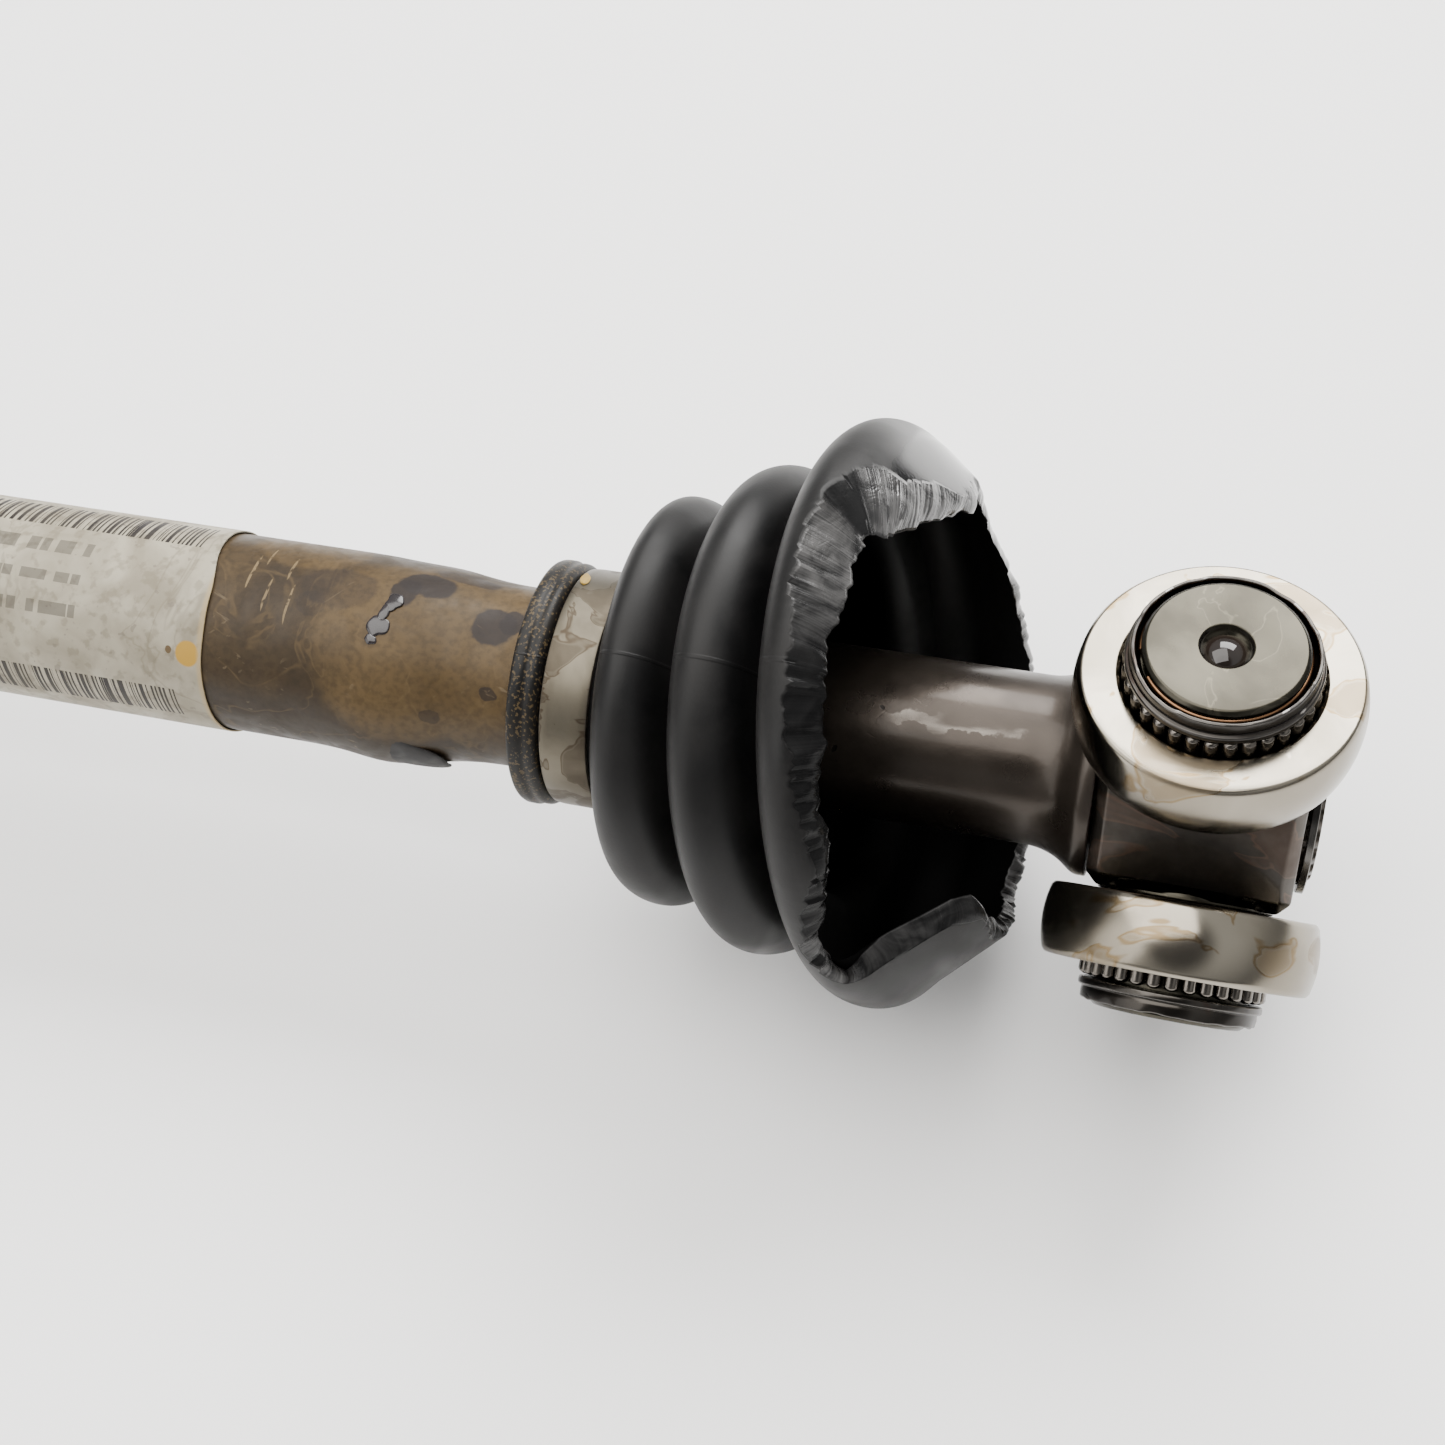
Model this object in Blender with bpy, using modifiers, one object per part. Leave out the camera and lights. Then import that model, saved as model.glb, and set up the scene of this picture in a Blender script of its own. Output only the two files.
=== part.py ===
"""Front-wheel half-shaft: a tubular shaft with a tripod joint at one end and a ball joint at the other.

Everything is in metres, +Z up. The shaft lies along X, its gearbox end at +X and its wheel end at -X.
The origin is the middle of the overall length, on the shaft's axis. One tripod arm points straight up.
"""

import math

import bmesh
import bpy
from mathutils import Matrix, Vector

# ---- Fits and facets -----------------------------------------------------------------------------
GAP = 0.0003  # between pieces that touch
SEGMENTS = 24  # flats round a turned piece
HALF_FLAT = math.pi / SEGMENTS  # turns a piece so that one of its flats faces down
MERGE = 0.00001

# ---- Shaft ---------------------------------------------------------------------------------------
JOINT_SPACING = 0.490  # wheel joint's centre to tripod's centre
TUBE_RADIUS = 0.0150
TUBE_BORE = 0.0105
COLLAR_SEAT_RADIUS = 0.01343  # where a boot's small end sits
SHANK_RADIUS = 0.0120  # inside the boots
END_BORE = 0.0035
SPLINE_RADIUS = 0.0112  # tooth tips of both shaft splines
SPLINE_TEETH = 23
SPLINE_TOOTH = 0.0009
CIRCLIP_WIDTH = 0.0010
CIRCLIP_INNER = 0.0098
CIRCLIP_OUTER = 0.0124
SWAGE_START = 0.1105  # from the tripod's centre: the tube starts to narrow
SWAGE_END = 0.1040
SEAT_END = 0.0830
SHOULDER_RADIUS = 0.0150  # the spider butts against this flare
FLARE_LENGTH = 0.0060
END_PROUD = 0.0022  # shaft end past the spider
WHEEL_SWAGE_START = 0.1100  # from the wheel joint's centre
WHEEL_SWAGE_END = 0.1035
WHEEL_SEAT_END = 0.0800

# ---- Label ---------------------------------------------------------------------------------------
LABEL_EDGE = 0.1444  # its gearbox-side edge, from the tripod's centre
LABEL_LENGTH = 0.110
LABEL_THICKNESS = 0.00035

# ---- Tripod --------------------------------------------------------------------------------------
HUB_LENGTH = 0.0270
HUB_CHAMFER = 0.0016
HUB_FLAT = 0.0154  # axis to the flat between two arms
ARM_ROOT = 0.0158  # axis to the shoulder that a roller rests against
TRUNNION_RADIUS = 0.0105
BOSS_STEP = 0.0013  # the boss under a trunnion is this much larger in radius
TRUNNION_END = 0.0320  # axis to a trunnion's end face
TRUNNION_CHAMFER = 0.0006
RING_GROOVE_LEVEL = 0.0297
RING_GROOVE_WIDTH = 0.0014
RING_GROOVE_DEPTH = 0.0009
DIMPLE_RADIUS = 0.0034
DIMPLE_DEPTH = 0.0018
ARM_ANGLES = (0.0, 120.0, 240.0)  # from straight up, turning towards -Y

NEEDLES = 32
NEEDLE_CLEARANCE = 0.00012
NEEDLE_DIAMETER = 0.0020
NEEDLE_WEB = 0.00036  # how far each needle stands out of the complement
NEEDLE_START = 0.0161
NEEDLE_END = 0.0281

ROLLER_RADIUS = 0.01866
ROLLER_WIDTH = 0.0099
ROLLER_CENTRE = 0.0211
ROLLER_BORE_CLEARANCE = 0.00013
CROWN_RADIUS = 0.0160  # the rolling surface's curve, seen along the shaft

RETAINER_CLEARANCE = 0.0004
RETAINER_WALL = 0.0010
RETAINER_RIM = 0.0005  # how far the flange stands out of the wall
RETAINER_LEDGE = 0.0004  # the snap ring rests on this step inside the wall
RETAINER_START = 0.0284
RETAINER_FLANGE = 0.0010
RETAINER_END = 0.0314

SNAP_WIRE = 0.0009
SNAP_GAP_DEGREES = 24.0
SNAP_GAP_SIDE = 200.0  # degrees round the trunnion from +X to the ring's gap

# ---- Boots and their clamps ----------------------------------------------------------------------
BOOT_WALL = 0.0024
COLLAR_GROOVE_RADIUS = 0.0164
COLLAR_LIP_RADIUS = 0.0182
COLLAR_START = 0.0955  # from the tripod's centre
COLLAR_LIP_WIDTH = 0.0045
COLLAR_BAND_WIDTH = 0.0070
CLAMP_THICKNESS = 0.0009
CREST_POINTS = 5
VALLEY_POINTS = 3
# each fold: distance from the tripod's centre, radius to its top or bottom, its rounding, its kind
GEARBOX_FOLDS = (
    (0.0835, 0.0164, 0.0014, "valley"),
    (0.0742, 0.0297, 0.0056, "crest"),
    (0.0668, 0.0232, 0.0012, "valley"),
    (0.0594, 0.0350, 0.0058, "crest"),
    (0.0518, 0.0278, 0.0013, "valley"),
    (0.0440, 0.0413, 0.0062, "crest"),
    (0.0235, 0.0262, 0.0020, "valley"),
)
CUT_CENTRE = 0.0430  # the cut crosses the axis here, from the tripod's centre
CUT_LEAN = 21.0  # degrees that the cut leans, further from the spider on its open side
CUT_SIDE = 33.5  # degrees from straight up, towards -Y, to the open side

# the wheel boot's folds are measured from the wheel joint's centre
WHEEL_FOLDS = (
    (0.0245, 0.0392, 0.0012, "valley"),
    (0.0312, 0.0428, 0.0036, "crest"),
    (0.0370, 0.0345, 0.0012, "valley"),
    (0.0426, 0.0390, 0.0036, "crest"),
    (0.0482, 0.0300, 0.0012, "valley"),
    (0.0536, 0.0342, 0.0036, "crest"),
    (0.0590, 0.0255, 0.0012, "valley"),
    (0.0642, 0.0292, 0.0036, "crest"),
    (0.0694, 0.0208, 0.0012, "valley"),
    (0.0744, 0.0242, 0.0034, "crest"),
    (0.0806, 0.0166, 0.0012, "valley"),
)
WHEEL_BOOT_WALL = 0.0018
BELL_COLLAR_THICKNESS = 0.0020
BELL_COLLAR_LENGTH = 0.0150
BELL_COLLAR_GROOVE = 0.0007
BELL_CLAMP_WIDTH = 0.0090
WHEEL_COLLAR_START = 0.0955
WHEEL_CREST_POINTS = 4
WHEEL_VALLEY_POINTS = 2

# ---- Wheel joint ---------------------------------------------------------------------------------
BALLS = 6
BALL_RADIUS = 0.0079
BALL_CIRCLE = 0.0275
TRACK_DEPTH_CLEARANCE = 0.00035
TRACK_SIDE_CLEARANCE = 0.00115  # lets a ball move sideways as the joint bends
TRACK_SIDES = 12
TRACK_BACK = 42.0  # degrees that the bell's tracks run back from the balls' circle
RACE_RADIUS = 0.0250
RACE_HALF_LENGTH = 0.0105
SPHERE_CLEARANCE = 0.0006  # between the inner race and the cage, both faceted
BELL_CLEARANCE = 0.0009  # between the cage and the bell
CAGE_WALL = 0.0040
CAGE_HALF_LENGTH = 0.0125
WINDOW_CLEARANCE = 0.0004
BELL_RADIUS = 0.0418
BELL_MOUTH = 0.0200  # mouth's face, from the joint's centre
BELL_MOUTH_RADIUS = 0.0382
BELL_LIP = 0.0030
BELL_SEAT_EDGE = 0.0100  # the cage's seat ends and the mouth starts to widen
BELL_SHOULDER = 0.0380  # joint's centre to the face that meets the wheel bearing
BELL_SHOULDER_RADIUS = 0.0215
STUB_SPLINE_RADIUS = 0.0134
STUB_TEETH = 27
STUB_TOOTH = 0.0010
STUB_SPLINE_LENGTH = 0.0480
STUB_RELIEF_RADIUS = 0.0145
STUB_RELIEF_LENGTH = 0.0040
BELL_DOME = (-0.0080, -0.0325)  # the bell's outside is round between these, from the joint's centre
THREAD_RADIUS = 0.0110
THREAD_LENGTH = 0.0240
THREAD_CHAMFER = 0.0012

# ---- Places along the shaft ----------------------------------------------------------------------
WHEEL_REACH = BELL_SHOULDER + STUB_RELIEF_LENGTH + STUB_SPLINE_LENGTH + THREAD_LENGTH
OVERALL = WHEEL_REACH + JOINT_SPACING + ROLLER_RADIUS
TRIPOD_X = OVERALL / 2 - ROLLER_RADIUS
WHEEL_X = TRIPOD_X - JOINT_SPACING
SHAFT_END_X = TRIPOD_X + HUB_LENGTH / 2 + END_PROUD
RACE_END_X = WHEEL_X - RACE_HALF_LENGTH - END_PROUD

# ---- Colours: base colour, metallic, roughness ---------------------------------------------------
FINISHES = {
    "painted_tube": ((0.115, 0.088, 0.058), 0.35, 0.50),
    "oiled_steel": ((0.200, 0.180, 0.160), 1.0, 0.32),
    "polished_steel": ((0.720, 0.690, 0.640), 1.0, 0.16),
    "dark_steel": ((0.120, 0.110, 0.100), 1.0, 0.30),
    "copper_wash": ((0.420, 0.200, 0.110), 1.0, 0.30),
    "clamp_steel": ((0.520, 0.490, 0.450), 0.9, 0.42),
    "boot_rubber": ((0.012, 0.012, 0.013), 0.0, 0.38),
    "label_paper": ((0.640, 0.620, 0.570), 0.0, 0.60),
}


def new_collection(name):
    """A collection in the scene, for the parts or for the cutters."""
    collection = bpy.data.collections.new(name)
    bpy.context.scene.collection.children.link(collection)
    return collection


def clear_scene():
    """Removes the objects that the scene starts with."""
    for obj in list(bpy.data.objects):
        bpy.data.objects.remove(obj, do_unlink=True)


clear_scene()
PARTS = new_collection("cv_axle")
CUTTERS = new_collection("cv_axle_cutters")


def finish(name):
    """The Principled material of that name, made once."""
    material = bpy.data.materials.get(name)
    if material:
        return material
    colour, metallic, roughness = FINISHES[name]
    material = bpy.data.materials.new(name)
    material.use_nodes = True
    shader = material.node_tree.nodes["Principled BSDF"]
    shader.inputs["Base Color"].default_value = (*colour, 1.0)
    shader.inputs["Metallic"].default_value = metallic
    shader.inputs["Roughness"].default_value = roughness
    material.diffuse_color = (*colour, 1.0)
    return material


def add(name, mesh, material):
    """A named part with that mesh and finish."""
    obj = bpy.data.objects.new(name, mesh)
    PARTS.objects.link(obj)
    obj.data.materials.append(finish(material))
    return obj


def as_cutter(obj):
    """Moves an object out of the parts, to be used only in a Boolean."""
    for collection in obj.users_collection:
        collection.objects.unlink(obj)
    CUTTERS.objects.link(obj)
    obj.hide_render = True
    obj.display_type = "WIRE"
    return obj


def boolean(obj, other, operation="DIFFERENCE"):
    """Cuts or joins one object with another, which then stays as a wire cutter."""
    modifier = obj.modifiers.new(operation.title() + "_" + other.name, "BOOLEAN")
    modifier.operation = operation
    modifier.object = as_cutter(other)
    modifier.solver = "EXACT"


def along_shaft(x, roll=HALF_FLAT):
    """Placement that carries a profile's Z to the shaft's X, with local zero at x."""
    turn = Matrix.Rotation(roll, 4, "X") @ Matrix.Rotation(math.pi / 2, 4, "Y")
    return Matrix.Translation((x, 0, 0)) @ turn


def along_arm(angle_degrees):
    """Placement that carries a profile's Z to a tripod arm, with local zero on the shaft's axis."""
    return Matrix.Translation((TRIPOD_X, 0, 0)) @ Matrix.Rotation(math.radians(angle_degrees), 4, "X")


def arc(centre, radius, start, end, points):
    """Points along a circular arc in the profile's plane, angles in degrees from the axial direction."""
    steps = [start + (end - start) * i / (points - 1) for i in range(points)]
    return [
        (centre[0] + radius * math.cos(math.radians(a)), centre[1] + radius * math.sin(math.radians(a)))
        for a in steps
    ]


def signed_area(points):
    """Shoelace area of (axial, radius) points, closed through the axis where they are open."""
    pairs = zip(points, points[1:] + points[:1])
    return sum(a[0] * b[1] - b[0] * a[1] for a, b in pairs) / 2


def turned(name, profile, material, placement, steps=SEGMENTS, closed=True):
    """A turned piece from (axial, radius) points: a closed loop, or an open line that ends on the axis."""
    points = list(profile)
    if signed_area(points) < 0:
        points.reverse()
    mesh = bpy.data.meshes.new(name)
    verts = [(radius, 0.0, axial) for axial, radius in points]
    edges = [(i, i + 1) for i in range(len(verts) - 1)]
    if closed:
        edges.append((len(verts) - 1, 0))
    mesh.from_pydata(verts, edges, [])
    obj = add(name, mesh, material)
    screw = obj.modifiers.new("turn", "SCREW")
    screw.axis = "Z"
    screw.angle = math.tau
    screw.steps = steps
    screw.render_steps = steps
    screw.use_merge_vertices = True
    screw.merge_threshold = MERGE
    screw.use_smooth_shade = True
    obj.matrix_world = placement
    return obj


def ring_outline(teeth, points_of_tooth):
    """Points round a toothed outline: each tooth repeats (angle share, radius) pairs."""
    outline = []
    for tooth in range(teeth):
        for share, radius in points_of_tooth:
            angle = math.tau * (tooth + share) / teeth
            outline.append((radius * math.cos(angle), radius * math.sin(angle)))
    return outline


def extruded(name, outline, low, high, material, placement):
    """A straight piece with that (x, y) outline, between two levels along local Z."""
    build = bmesh.new()
    base = build.faces.new([build.verts.new((x, y, low)) for x, y in outline])
    grown = bmesh.ops.extrude_face_region(build, geom=[base])
    top = [item for item in grown["geom"] if isinstance(item, bmesh.types.BMVert)]
    bmesh.ops.translate(build, verts=top, vec=(0, 0, high - low))
    bmesh.ops.recalc_face_normals(build, faces=build.faces)
    mesh = bpy.data.meshes.new(name)
    build.to_mesh(mesh)
    build.free()
    obj = add(name, mesh, material)
    obj.matrix_world = placement
    return obj


def spline_outline(radius, tooth, teeth, grown=0.0):
    """A splined shaft's outline with straight-sided teeth; grown widens it into the matching hole."""
    tip, root = radius + grown, radius - tooth + grown
    return ring_outline(teeth, ((0.0, root), (0.30, root), (0.48, tip), (0.82, tip)))


def splined(name, radius, tooth, teeth, low, high, grown=0.0):
    """A straight splined length of the shaft's line, or the cutter for its hole."""
    outline = spline_outline(radius, tooth, teeth, grown)
    return extruded(name, outline, low, high, "oiled_steel", along_shaft(0, 0))


def spline_hole(name, centre, reach):
    """Cutter for the hole that fits a shaft spline, long enough to pass through a hub."""
    return splined(name, SPLINE_RADIUS, SPLINE_TOOTH, SPLINE_TEETH, centre - reach, centre + reach, GAP)


# ---- Bellows profiles ----------------------------------------------------------------------------
def fold_circles(folds, offset):
    """(axial, centre radius, rounding, kind) of each fold's circle, on the skin or offset inwards."""
    circles = []
    for axial, radius, rounding, kind in folds:
        if kind == "crest":
            circles.append((axial, radius - rounding, rounding - offset, kind))
        else:
            circles.append((axial, radius + rounding, rounding + offset, kind))
    return circles


def tangent_angle(first, second):
    """Direction, in degrees, of the crest's normal on the line that touches two neighbouring folds."""
    crest, valley = (first, second) if first[3] == "crest" else (second, first)
    dx, dr = valley[0] - crest[0], valley[1] - crest[1]
    lean = math.degrees(math.acos((crest[2] + valley[2]) / math.hypot(dx, dr)))
    heading = math.degrees(math.atan2(dr, dx))
    if dx > 0:
        return heading + lean
    return heading + 360.0 - lean if heading < 0 else heading - lean


def bellows(folds, offset=0.0, crest_points=CREST_POINTS, valley_points=VALLEY_POINTS):
    """Points of a bellows skin in (axial, radius), through every fold in order of rising axial place."""
    circles = sorted(fold_circles(folds, offset))
    points = []
    for i, (axial, centre, rounding, kind) in enumerate(circles):
        before = tangent_angle(circles[i - 1], circles[i]) if i else None
        after = tangent_angle(circles[i], circles[i + 1]) if i + 1 < len(circles) else None
        if kind == "crest":
            start = before if before is not None else 90.0
            end = after if after is not None else 90.0
            points += arc((axial, centre), rounding, start, end, crest_points)
        else:
            start = before + 180.0 if before is not None else 270.0
            end = after + 180.0 if after is not None else 270.0
            points += arc((axial, centre), rounding, start, end, valley_points)
    return points


# ---- Shaft and label -----------------------------------------------------------------------------
def make_shaft():
    """The tubular shaft: a wide tube swaged down to a boot seat, a shank and a splined end at each joint."""
    hub_face = TRIPOD_X - HUB_LENGTH / 2 - GAP
    outer = [
        (hub_face, END_BORE),
        (hub_face, SHOULDER_RADIUS),
        (hub_face - FLARE_LENGTH * 0.35, SHOULDER_RADIUS - 0.0010),
        (hub_face - FLARE_LENGTH * 0.7, SHANK_RADIUS + 0.0006),
        (hub_face - FLARE_LENGTH, SHANK_RADIUS),
        (TRIPOD_X - SEAT_END, SHANK_RADIUS),
        (TRIPOD_X - SEAT_END - 0.0015, COLLAR_SEAT_RADIUS),
        (TRIPOD_X - SWAGE_END, COLLAR_SEAT_RADIUS),
        (TRIPOD_X - SWAGE_START, TUBE_RADIUS),
        (WHEEL_X + WHEEL_SWAGE_START, TUBE_RADIUS),
        (WHEEL_X + WHEEL_SWAGE_END, COLLAR_SEAT_RADIUS),
        (WHEEL_X + WHEEL_SEAT_END + 0.0015, COLLAR_SEAT_RADIUS),
        (WHEEL_X + WHEEL_SEAT_END, SHANK_RADIUS),
        (WHEEL_X + RACE_HALF_LENGTH + 0.004, SHANK_RADIUS),
        (WHEEL_X + RACE_HALF_LENGTH + GAP, SPLINE_RADIUS + 0.0003),
        (WHEEL_X + RACE_HALF_LENGTH + GAP, END_BORE),
    ]
    inner = [
        (WHEEL_X + WHEEL_SWAGE_END, END_BORE),
        (WHEEL_X + WHEEL_SWAGE_START, TUBE_BORE),
        (TRIPOD_X - SWAGE_START, TUBE_BORE),
        (TRIPOD_X - SWAGE_END, END_BORE),
    ]
    shaft = turned("shaft", outer + inner, "painted_tube", along_shaft(0))
    overlap = 0.0020
    ends = (
        ("gearbox_spline", hub_face - overlap, SHAFT_END_X),
        ("wheel_spline", RACE_END_X, WHEEL_X + RACE_HALF_LENGTH + GAP + overlap),
    )
    for name, low, high in ends:
        end = splined(name, SPLINE_RADIUS, SPLINE_TOOTH, SPLINE_TEETH, low, high)
        rod = tube_loop(low - overlap, high + overlap, 0, END_BORE)
        bore = turned(name + "_bore", rod, "oiled_steel", along_shaft(0), closed=False)
        boolean(end, bore)
        boolean(shaft, end, "UNION")
    for x in (SHAFT_END_X - END_PROUD / 2, RACE_END_X + END_PROUD / 2):
        half = CIRCLIP_WIDTH / 2 + GAP / 2
        loop = tube_loop(x - half, x + half, CIRCLIP_INNER - GAP, SPLINE_RADIUS * 1.3)
        groove = turned("circlip_groove", loop, "oiled_steel", along_shaft(0))
        boolean(shaft, groove)
    return shaft


def tube_loop(low, high, inner, outer):
    """Profile of a plain ring, or of a plain rod where inner is zero."""
    if inner:
        return [(low, inner), (high, inner), (high, outer), (low, outer)]
    return [(low, 0), (low, outer), (high, outer), (high, 0)]


def make_circlip(name, x):
    """An open spring ring in the shaft's end groove, which keeps a hub on its spline."""
    loop = tube_loop(x - CIRCLIP_WIDTH / 2, x + CIRCLIP_WIDTH / 2, CIRCLIP_INNER, CIRCLIP_OUTER)
    ring = turned(name, loop, "dark_steel", along_shaft(0), steps=20)
    bpy.ops.mesh.primitive_cube_add(size=1, location=(x, 0, -CIRCLIP_OUTER))
    slot = bpy.context.object
    slot.name = name + "_slot"
    slot.scale = (CIRCLIP_WIDTH * 4, 0.0045, CIRCLIP_OUTER)
    boolean(ring, slot)
    return ring


def make_label():
    """The paper label wrapped round the tube."""
    high = TRIPOD_X - LABEL_EDGE
    inner = TUBE_RADIUS + GAP
    loop = tube_loop(high - LABEL_LENGTH, high, inner, inner + LABEL_THICKNESS)
    return turned("shaft_label", loop, "label_paper", along_shaft(0))


# ---- Tripod --------------------------------------------------------------------------------------
def make_spider():
    """The hub with its three trunnions, splined onto the shaft."""
    across = (HUB_FLAT - ARM_ROOT * math.cos(math.radians(60))) / math.sin(math.radians(60))
    outline = []
    for i in range(3):
        arm = math.radians(120 * i)
        for side in (-across, across):
            outline.append((
                ARM_ROOT * math.cos(arm) - side * math.sin(arm),
                ARM_ROOT * math.sin(arm) + side * math.cos(arm),
            ))
    placement = along_shaft(TRIPOD_X, 0) @ Matrix.Rotation(math.pi, 4, "Z")
    spider = extruded("tripod_spider", outline, -HUB_LENGTH / 2, HUB_LENGTH / 2, "oiled_steel", placement)
    bevel = spider.modifiers.new("chamfer", "BEVEL")
    bevel.width = HUB_CHAMFER
    bevel.segments = 1
    bevel.limit_method = "ANGLE"
    bevel.angle_limit = math.radians(50)
    groove_low = RING_GROOVE_LEVEL
    groove_high = RING_GROOVE_LEVEL + RING_GROOVE_WIDTH
    groove = TRUNNION_RADIUS - RING_GROOVE_DEPTH
    for number, angle in enumerate(ARM_ANGLES, 1):
        profile = [
            (0.0060, 0.0),
            (0.0060, TRUNNION_RADIUS + BOSS_STEP),
            (ARM_ROOT + 0.0001, TRUNNION_RADIUS + BOSS_STEP),
            (ARM_ROOT + 0.0001, TRUNNION_RADIUS),
            (groove_low, TRUNNION_RADIUS),
            (groove_low, groove),
            (groove_high, groove),
            (groove_high, TRUNNION_RADIUS),
            (TRUNNION_END - TRUNNION_CHAMFER, TRUNNION_RADIUS),
            (TRUNNION_END, TRUNNION_RADIUS - TRUNNION_CHAMFER),
            (TRUNNION_END, DIMPLE_RADIUS),
            (TRUNNION_END - DIMPLE_DEPTH * 0.7, DIMPLE_RADIUS * 0.7),
            (TRUNNION_END - DIMPLE_DEPTH, 0.0),
        ]
        trunnion = turned(f"trunnion_{number}", profile, "oiled_steel", along_arm(angle), closed=False)
        boolean(spider, trunnion, "UNION")
    boolean(spider, spline_hole("spider_spline", TRIPOD_X, HUB_LENGTH))
    return spider


def make_needles(number, angle):
    """One trunnion's full set of needle rollers, each needle touching the next."""
    inner = TRUNNION_RADIUS + NEEDLE_CLEARANCE
    outer = inner + NEEDLE_DIAMETER
    outside = ring_outline(NEEDLES, ((0.0, outer), (0.5, outer - NEEDLE_WEB)))
    inside = ring_outline(NEEDLES, ((0.0, inner), (0.5, inner + NEEDLE_WEB)))
    name = f"needle_rollers_{number}"
    needles = extruded(name, outside, NEEDLE_START, NEEDLE_END, "polished_steel", along_arm(angle))
    bore_start, bore_end = NEEDLE_START - NEEDLE_DIAMETER, NEEDLE_END + NEEDLE_DIAMETER
    bore = extruded(name + "_bore", inside, bore_start, bore_end, "polished_steel", along_arm(angle))
    boolean(needles, bore)
    return needles


def make_roller(number, angle):
    """A crowned roller, free to spin and slide on its needles."""
    over_needles = TRUNNION_RADIUS + NEEDLE_CLEARANCE + NEEDLE_DIAMETER
    bore = over_needles / math.cos(HALF_FLAT) + ROLLER_BORE_CLEARANCE
    half = ROLLER_WIDTH / 2
    lean = math.degrees(math.asin(half / CROWN_RADIUS))
    crown = arc((ROLLER_CENTRE, ROLLER_RADIUS - CROWN_RADIUS), CROWN_RADIUS, 90 - lean, 90 + lean, 5)
    profile = crown + [(ROLLER_CENTRE - half, bore), (ROLLER_CENTRE + half, bore)]
    return turned(f"roller_{number}", profile, "polished_steel", along_arm(angle))


def make_retainer(number, angle):
    """The pressed cap over the needles' ends, with a flange, a short wall and a ledge for the snap ring."""
    bore = TRUNNION_RADIUS + RETAINER_CLEARANCE
    wall = bore + RETAINER_WALL
    flange = wall + RETAINER_RIM
    profile = [
        (RETAINER_START, bore),
        (RETAINER_START, flange),
        (RETAINER_START + RETAINER_FLANGE, flange),
        (RETAINER_START + RETAINER_FLANGE, wall),
        (RETAINER_END, wall),
        (RETAINER_END, bore + RETAINER_LEDGE),
        (RING_GROOVE_LEVEL, bore + RETAINER_LEDGE),
        (RING_GROOVE_LEVEL - GAP, bore),
    ]
    return turned(f"roller_retainer_{number}", profile, "dark_steel", along_arm(angle))


def make_snap_ring(number, angle):
    """The open ring in a trunnion's groove that holds the retainer down."""
    low = RING_GROOVE_LEVEL + (RING_GROOVE_WIDTH - SNAP_WIRE) / 2
    inner = TRUNNION_RADIUS - RING_GROOVE_DEPTH + 0.0002
    outer = TRUNNION_RADIUS + RETAINER_CLEARANCE + RETAINER_LEDGE / 4
    name = f"snap_ring_{number}"
    loop = tube_loop(low, low + SNAP_WIRE, inner, outer)
    ring = turned(name, loop, "copper_wash", along_arm(angle), steps=20)
    bpy.ops.mesh.primitive_cube_add(size=1)
    slot = bpy.context.object
    slot.name = name + "_slot"
    opening = 2 * outer * math.sin(math.radians(SNAP_GAP_DEGREES / 2))
    slot.data.transform(Matrix.Diagonal((0.006, opening, 0.004, 1)))
    turn = Matrix.Rotation(math.radians(SNAP_GAP_SIDE), 4, "Z")
    slot.matrix_world = along_arm(angle) @ turn @ Matrix.Translation((outer, 0, low))
    boolean(ring, slot)
    return ring


# ---- Gearbox boot --------------------------------------------------------------------------------
def mirrored_folds(folds):
    """Folds measured back from the tripod's centre, as places along the shaft."""
    return [(-distance, radius, rounding, kind) for distance, radius, rounding, kind in folds]


def make_gearbox_boot():
    """The rubber bellows at the gearbox end, cut open slantwise past its third fold."""
    folds = mirrored_folds(GEARBOX_FOLDS)
    skin, lining = bellows(folds), bellows(folds, BOOT_WALL)
    start = -COLLAR_START
    lip_end = start + COLLAR_LIP_WIDTH
    seat = COLLAR_SEAT_RADIUS + GAP
    collar = [
        (start, seat),
        (start, COLLAR_LIP_RADIUS - 0.0006),
        (start + 0.0006, COLLAR_LIP_RADIUS),
        (start + COLLAR_LIP_WIDTH * 0.6, COLLAR_LIP_RADIUS),
        (lip_end, COLLAR_LIP_RADIUS - 0.0010),
        (lip_end, COLLAR_GROOVE_RADIUS),
    ]
    lining = [point for point in lining if point[1] > seat]
    profile = collar + skin + lining[::-1] + [(-SEAT_END - 0.0020, seat)]
    boot = turned("gearbox_boot", profile, "boot_rubber", along_shaft(TRIPOD_X))
    bpy.ops.mesh.primitive_cube_add(size=1)
    knife = bpy.context.object
    knife.name = "boot_cut"
    size = 0.200
    knife.data.transform(Matrix.Translation((size / 2, 0, 0)) @ Matrix.Diagonal((size, size, size, 1)))
    turn = Matrix.Rotation(math.radians(CUT_SIDE), 4, "X") @ Matrix.Rotation(math.radians(-CUT_LEAN), 4, "Y")
    knife.matrix_world = Matrix.Translation((TRIPOD_X - CUT_CENTRE, 0, 0)) @ turn
    boolean(boot, knife)
    return boot


def make_gearbox_clamp():
    """The steel band shrunk into the boot collar's groove."""
    low = -COLLAR_START + COLLAR_LIP_WIDTH + GAP
    inner = COLLAR_GROOVE_RADIUS + GAP
    loop = tube_loop(low, low + COLLAR_BAND_WIDTH, inner, inner + CLAMP_THICKNESS)
    return turned("gearbox_boot_clamp", loop, "clamp_steel", along_shaft(TRIPOD_X))


# ---- Wheel joint ---------------------------------------------------------------------------------
def sphere_angle(radius, axial):
    """Degrees from +X to the place where that sphere reaches that axial place."""
    return math.degrees(math.acos(axial / radius))


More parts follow.
